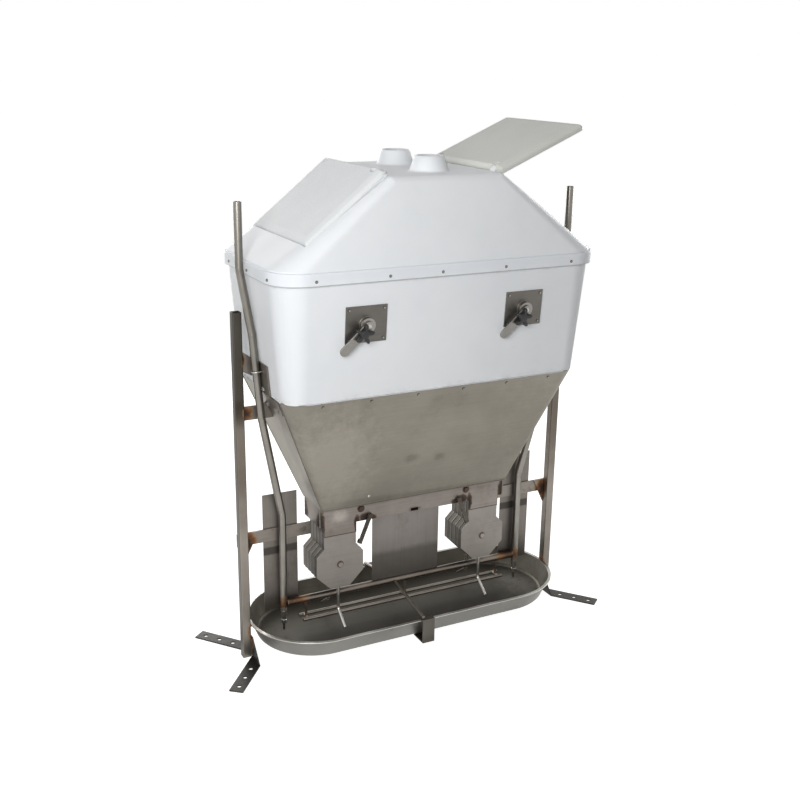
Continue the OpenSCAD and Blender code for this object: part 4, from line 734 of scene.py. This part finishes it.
def addBead(shape, start, end, radius, kit):
    start, end = Vector(start) * mm, Vector(end) * mm
    length = (end - start).length
    count = max(4, int(length / (kit["step"] * radius * mm)))
    swells = [swellAt(i, kit["ripple"], kit) for i in range(count + 1)]
    swells[0] *= kit["tip"]
    swells[-1] *= kit["tip"]
    known = len(shape.verts)
    tube = bmesh.ops.create_cone(shape, cap_ends=True, segments=kit["sides"], radius1=radius * mm,
                                 radius2=radius * mm, depth=length)["verts"]
    edges = {e for v in tube for e in v.link_edges}
    upright = [e for e in edges if abs(e.verts[0].co.z - e.verts[1].co.z) > length / 2]
    bmesh.ops.subdivide_edges(shape, edges=upright, cuts=count - 1)
    fresh = shape.verts[known:]
    for vert in fresh:
        swell = swells[round((vert.co.z / length + 0.5) * count)]
        vert.co.x *= swell
        vert.co.y *= swell
    bmesh.ops.transform(shape, matrix=alongWay((start + end) / 2, (end - start).normalized()), verts=fresh)


def addRing(shape, centre, way, ringR, radius, kit):
    swells = [swellAt(i, kit["ringRipple"], kit) for i in range(kit["ringSteps"])]
    turns = [2 * math.pi * k / kit["ringSides"] for k in range(kit["ringSides"] + 1)]
    before = set(shape.verts)
    profile = [(ringR + radius * math.cos(a), radius * math.sin(a)) for a in turns]
    turned(shape, profile, kit["ringSteps"], Matrix())
    fresh = [v for v in shape.verts if v not in before]
    for vert in fresh:
        turn = math.atan2(vert.co.y, vert.co.x)
        middle = Vector((math.cos(turn), math.sin(turn), 0)) * ringR * mm
        swell = swells[round(turn / (2 * math.pi) * kit["ringSteps"]) % kit["ringSteps"]]
        vert.co = middle + (vert.co - middle) * swell
    bmesh.ops.transform(shape, matrix=alongWay(Vector(centre) * mm, Vector(way)), verts=fresh)


def addWelds(kit):
    for name, look in (("frame", "weld"), ("seam", "seam")):
        shape = bmesh.new()
        for bead in kit[name]:
            addBead(shape, *bead, kit)
        for ring in kit.get(name + "Rings", []):
            addRing(shape, *ring, kit)
        shape.normal_update()
        addPiece("weld_" + name, shape, (look,), sharp=60)


addWelds(welds)
print("weld beads made")

# plain solids with their finish and the easing of their edges
dress = {
    "hinge_pins": ("bolt", 0.4), "hopper_cone": ("cone", 0.4), "outlet_box": ("outlet", 0.4),
    "outlet_bolts": ("burnt", 0.7), "centre_plate": ("centre", 0.4), "pivot_bolts": ("bolt", 0.7),
    "trough_hooks": ("hook", 0.8), "cross_rods": ("rod", 0.5), "water_pipe": ("water", 0.3),
    "pipe_clamps": ("bright", 0.3), "guard_bars": ("rod", 0.3), "latch_pins": ("burnt", 0.5),
    "bracket_bolts": ("bolt", 0.7),
}
pairDress = {
    "_housing": ("sheet", 0.3), "_covers": ("cover", 0.5), "_rocker": ("sheet", 0.3),
    "_activators": ("bright", 0.5), "_gate": ("sheet", 0.3), "_control_rod": ("rod", 0.3),
    "_latch": ("latch", 0.6), "_spindle": ("bright", 0.5), "_lever": ("lever", 1.0),
    "_bracket": ("bar", 0.6), "_lower_bar": ("bar", 0.6), "_end_plate": ("endPlate", 0.4),
    "_riser": ("pipe", 0.4), "_drinker_pin": ("rod", 0.4),
}
for side in sides:
    dress.update({side + name: finish for name, finish in pairDress.items()})
for node, (look, width) in dress.items():
    eased(node, width, (look,))
print("plain solids dressed,", len(dress))

# foot strips stay sharp where they lie on the floor
footStrip = {"ease": 0.7, "floorGap": 1.0}


def aboveFloor(p, e):
    return p.z > footStrip["floorGap"]


for side in sides:
    eased(side + "_foot_strips", footStrip["ease"], ("strip",), small=aboveFloor)
print("foot strips dressed")

# adjuster plates: the turned boss round the spindle is brighter than the sheet
boss = {"ease": 0.7, "reach": 21.5, "area": 0.002, "spindle": jointOf("right_lever_turn")["pos_m"]}


def bossPaint(face):
    middle = face.calc_center_median()
    off = math.hypot(abs(middle.x) - boss["spindle"][0], middle.z - boss["spindle"][2])
    return 1 if off < boss["reach"] * mm and face.calc_area() < boss["area"] else 0


eased("adjuster_plates", boss["ease"], ("plate", "lever"), paint=bossPaint)
print("adjuster plates dressed")

# hatches: covers with sloping edges, their pin bores closed at the sides
hatchForm = {"halfWide": 185.0, "long": 267.5, "under": -8.5, "ease": 0.8, "easeFrom": 20.0, "top": 5.0,
             "soft": 20.0, "drop": 8.0, "cuts": (8.0, 12.0, 16.0, 20.0, 24.0), "cutGap": 0.01,
             "pin": 3.05, "capLow": 181.5, "capHigh": 183.0, "capRound": 24}


def addHatch(side, kit):
    node = side + "_hatch"
    hinge = Vector(jointOf(node + "_hinge")["pos_m"])
    shape = solidOf(node)
    lift = max((f for f in shape.faces if f.normal.z > 0), key=lambda f: f.calc_area()).normal.copy()
    down = Vector((lift.z, 0, -lift.x)) * (-1 if side == "left" else 1)

    def place(point):  # along the cover from the hinge, and above it
        return (point - hinge).dot(down) / mm, (point - hinge).dot(lift) / mm

    def underside(p, e):
        along, height = place(p * mm)
        return height < kit["under"] and along > kit["easeFrom"]

    rounded(shape, foldedEdges(shape, copying["foldAfterRounds"], underside), kit["ease"])
    for cut in kit["cuts"]:
        ends = [(hinge + down * (kit["long"] - cut) * mm, down)]
        ends += [(Vector((0, s * (kit["halfWide"] - cut) * mm, 0)), Vector((0, 1, 0))) for s in (-1, 1)]
        for point, way in ends:
            bmesh.ops.bisect_plane(shape, geom=shape.verts[:] + shape.edges[:] + shape.faces[:],
                                   dist=kit["cutGap"] * mm, plane_co=point, plane_no=way)
    for vert in shape.verts:
        along, height = place(vert.co)
        if height > kit["top"]:
            inward = min(kit["halfWide"] - abs(vert.co.y) / mm, kit["long"] - along)
            vert.co -= lift * kit["drop"] * max(0.0, 1 - inward / kit["soft"]) * mm
    for s in (-1, 1):
        at = frameAt(hinge, Vector((0, s, 0)))
        prism(shape, kit["capRound"], kit["pin"], kit["capLow"], kit["capHigh"], 0, at)
    # the open right hatch takes the darker copy of the moulding, painted shade
    addPiece(node + "_eased", shape, (side + "Hatch",), node, 45)


for side in sides:
    addHatch(side, hatchForm)
print("hatches dressed")

# moulded tub: soft outer corner where the cone begins; its wall from plainLow to plainHigh stays as it is
tubForm = {"ease": 1.0, "seamR": 5.0, "seamZ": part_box("hopper_cone")[1].z / mm, "near": 0.4, "outX": 439.0,
           "outY": 195.0, "plainLow": 900.0, "plainHigh": 1120.0}


def tubSeam(p, e):
    outside = abs(p.x) > tubForm["outX"] or abs(p.y) > tubForm["outY"]
    return abs(p.z - tubForm["seamZ"]) < tubForm["near"] and outside


def tubRest(p, e):
    return p.z < tubForm["plainLow"] or p.z > tubForm["plainHigh"]


eased("tub", tubForm["ease"], ("white",), [(tubSeam, tubForm["seamR"], 4)], small=tubRest)
print("tub dressed")

# moulded lid: soft skirt, roof and inlets; the band of its screws stays as it is
lidForm = {"ease": 0.8, "bandLow": 1100.0, "bandHigh": 1120.0, "near": 0.4, "top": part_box("lid")[1].z / mm,
           "skirtR": 2.4, "skirtTop": 1135.0, "skirtX": 470.5, "skirtY": 226.5, "mouthR": 1.5,
           "bevelR": 3.0, "bevelDrop": 5.0, "inletY": 99.0, "footR": 5.0, "footDrop": 40.0,
           "footLow": 49.0, "footHigh": 56.0}


def lidRest(p, e):
    return not lidForm["bandLow"] < p.z < lidForm["bandHigh"]


def lidSkirt(p, e):
    outside = abs(p.x) > lidForm["skirtX"] or abs(p.y) > lidForm["skirtY"]
    return lidRest(p, e) and p.z < lidForm["skirtTop"] and outside


def inletMouth(p, e):
    return p.z > lidForm["top"] - lidForm["near"]


def inletBevel(p, e):
    return abs(p.z - lidForm["top"] + lidForm["bevelDrop"]) < lidForm["near"]


def inletFoot(p, e):
    off = math.hypot(p.x, abs(p.y) - lidForm["inletY"])
    level = abs(p.z - lidForm["top"] + lidForm["footDrop"]) < lidForm["near"]
    return level and lidForm["footLow"] < off < lidForm["footHigh"]


eased("lid", lidForm["ease"], ("white",),
      [(lidSkirt, lidForm["skirtR"], 3), (inletMouth, lidForm["mouthR"], 3),
       (inletBevel, lidForm["bevelR"], 4), (inletFoot, lidForm["footR"], 4)], sharp=50, small=lidRest)
print("lid dressed")

# posts of drawn tube with round corners
postForm = {"ease": 0.4, "cornerR": 3.0, "cornerOff": 11.5, "long": 500.0}


def addPost(side, kit):
    low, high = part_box(side + "_post")
    centre = (low.x + high.x) / 2 / mm

    def corner(p, e):
        upright = abs(e.verts[0].co.z - e.verts[1].co.z) > kit["long"] * mm
        return upright and abs(p.x - centre) > kit["cornerOff"]

    eased(side + "_post", kit["ease"], ("post",), [(corner, kit["cornerR"], 4)])


for side in sides:
    addPost(side, postForm)
print("posts dressed")

# pressed trough: soft foot corners and a full round rim
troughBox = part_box("trough")[1] / mm
pressed = {"ease": 0.4, "footR": 7.0, "footTop": 42.6, "rimR": 1.1, "rimLow": 96.4, "rimOut": 190.0,
           "paintedHighlightLow": 95.5, "under": -0.5, "straight": troughBox.x - troughBox.y}


def troughOut(p):  # from the middle line of the trough
    return Vector((max(0.0, abs(p.x) - pressed["straight"]) * math.copysign(1, p.x), p.y, 0))


# faces above the rim height take the painted rim highlight
def troughPaint(face):
    middle = face.calc_center_median() / mm
    if middle.z > pressed["paintedHighlightLow"]:
        return 2
    return 1 if face.normal.dot(troughOut(middle)) > 0 or face.normal.z < pressed["under"] else 0


def troughFoot(p, e):
    return p.z < pressed["footTop"]


def troughRim(p, e):
    return p.z > pressed["rimLow"] and troughOut(p).length > pressed["rimOut"]


eased("trough", pressed["ease"], ("troughIn", "troughOut", "troughRim"),
      [(troughFoot, pressed["footR"], 5), (troughRim, pressed["rimR"], 3)], troughPaint)
print("trough dressed")

# camera as the photograph was taken: focal length and picture in pixels
shot = {"focal": 1090.74, "picture": 800, "sensor": 36, "far": 100, "azimuth": -27.04, "height": 17.38,
        "roll": 0.83, "eye": (-1.3715, -2.6384, 1.6270)}


def aimCamera(kit):
    az, el, roll = (math.radians(kit[k]) for k in ("azimuth", "height", "roll"))
    back = Vector((math.sin(az) * math.cos(el), -math.cos(az) * math.cos(el), math.sin(el)))
    right = (-back).cross(Vector((0, 0, 1))).normalized()
    up = right.cross(-back)
    side = math.cos(roll) * right + math.sin(roll) * up
    top = -math.sin(roll) * right + math.cos(roll) * up
    data = bpy.data.cameras.new("shot")
    data.sensor_width = kit["sensor"]
    data.lens = kit["focal"] * kit["sensor"] / kit["picture"]
    data.clip_end = kit["far"]
    camera = bpy.data.objects.new("shot", data)
    bpy.context.scene.collection.objects.link(camera)
    camera.matrix_world = Matrix.Translation(kit["eye"]) @ Matrix((side, top, back)).transposed().to_4x4()
    bpy.context.scene.camera = camera


aimCamera(shot)

# floor, sky and lamps, in metres and watts: name, place, target, size and power
studio = {"floor": 0.55, "floorGlow": 0.92, "floorHalf": 30, "sky": 0.15,
          "lamps": [("key", (-1.5, -1.9, 1.6), (0, 0, 0.8), 1.1, 40),
                    ("side", (-2.1, 0.0, 2.3), (0, 0, 1.0), 1.6, 5),
                    ("top", (0.0, 0.4, 3.0), (0, 0, 1.0), 1.6, 5),
                    ("rim", (-0.3, 3.0, 1.3), (0, 0, 0.8), 2.0, 46),
                    ("right", (2.8, 1.0, 1.4), (0, 0, 0.8), 1.6, 40)]}


def seenWhite(look):  # 1 for camera, glossy and transmission rays
    camera, glossy, through = (look.node("ShaderNodeLightPath", {}, {}, k) for k in (0, 3, 6))
    return camera.most(glossy).most(through)


def makeStudio(kit):
    scene = bpy.context.scene
    scene.view_settings.view_transform = "Standard"
    shape = bmesh.new()
    bmesh.ops.create_grid(shape, x_segments=1, y_segments=1, size=kit["floorHalf"])
    mesh = bpy.data.meshes.new("floor")
    shape.to_mesh(mesh)
    shape.free()
    floor = bpy.data.objects.new("floor", mesh)
    scene.collection.objects.link(floor)
    look = Look("paleFloor")
    matt = look.node("ShaderNodeBsdfDiffuse", {}, {"Color": (kit["floor"],) * 3 + (1,)})
    strength = seenWhite(look) * kit["floorGlow"]
    glow = look.node("ShaderNodeEmission", {}, {"Color": (1, 1, 1, 1), "Strength": strength})
    both = look.node("ShaderNodeAddShader", {}, {"Shader": matt, "Shader_001": glow})
    look.node("ShaderNodeOutputMaterial", {}, {"Surface": both})
    floor.data.materials.append(look.mat)
    scene.world = bpy.data.worlds.new("sky")
    scene.world.use_nodes = True
    sky = Look("sky", scene.world.node_tree)
    level = seenWhite(sky) * (1 - kit["sky"]) + kit["sky"]
    light = sky.node("ShaderNodeBackground", {}, {"Color": (1, 1, 1, 1), "Strength": level})
    sky.node("ShaderNodeOutputWorld", {}, {"Surface": light})
    for name, place, target, size, power in kit["lamps"]:
        data = bpy.data.lights.new(name, "AREA")
        data.shape, data.size, data.energy = "DISK", size, power
        lamp = bpy.data.objects.new(name, data)
        scene.collection.objects.link(lamp)
        lamp.visible_camera = False
        lamp.location = place
        lamp.rotation_euler = (Vector(target) - Vector(place)).to_track_quat("-Z", "Y").to_euler()


makeStudio(studio)
print("camera, floor and lamps set")
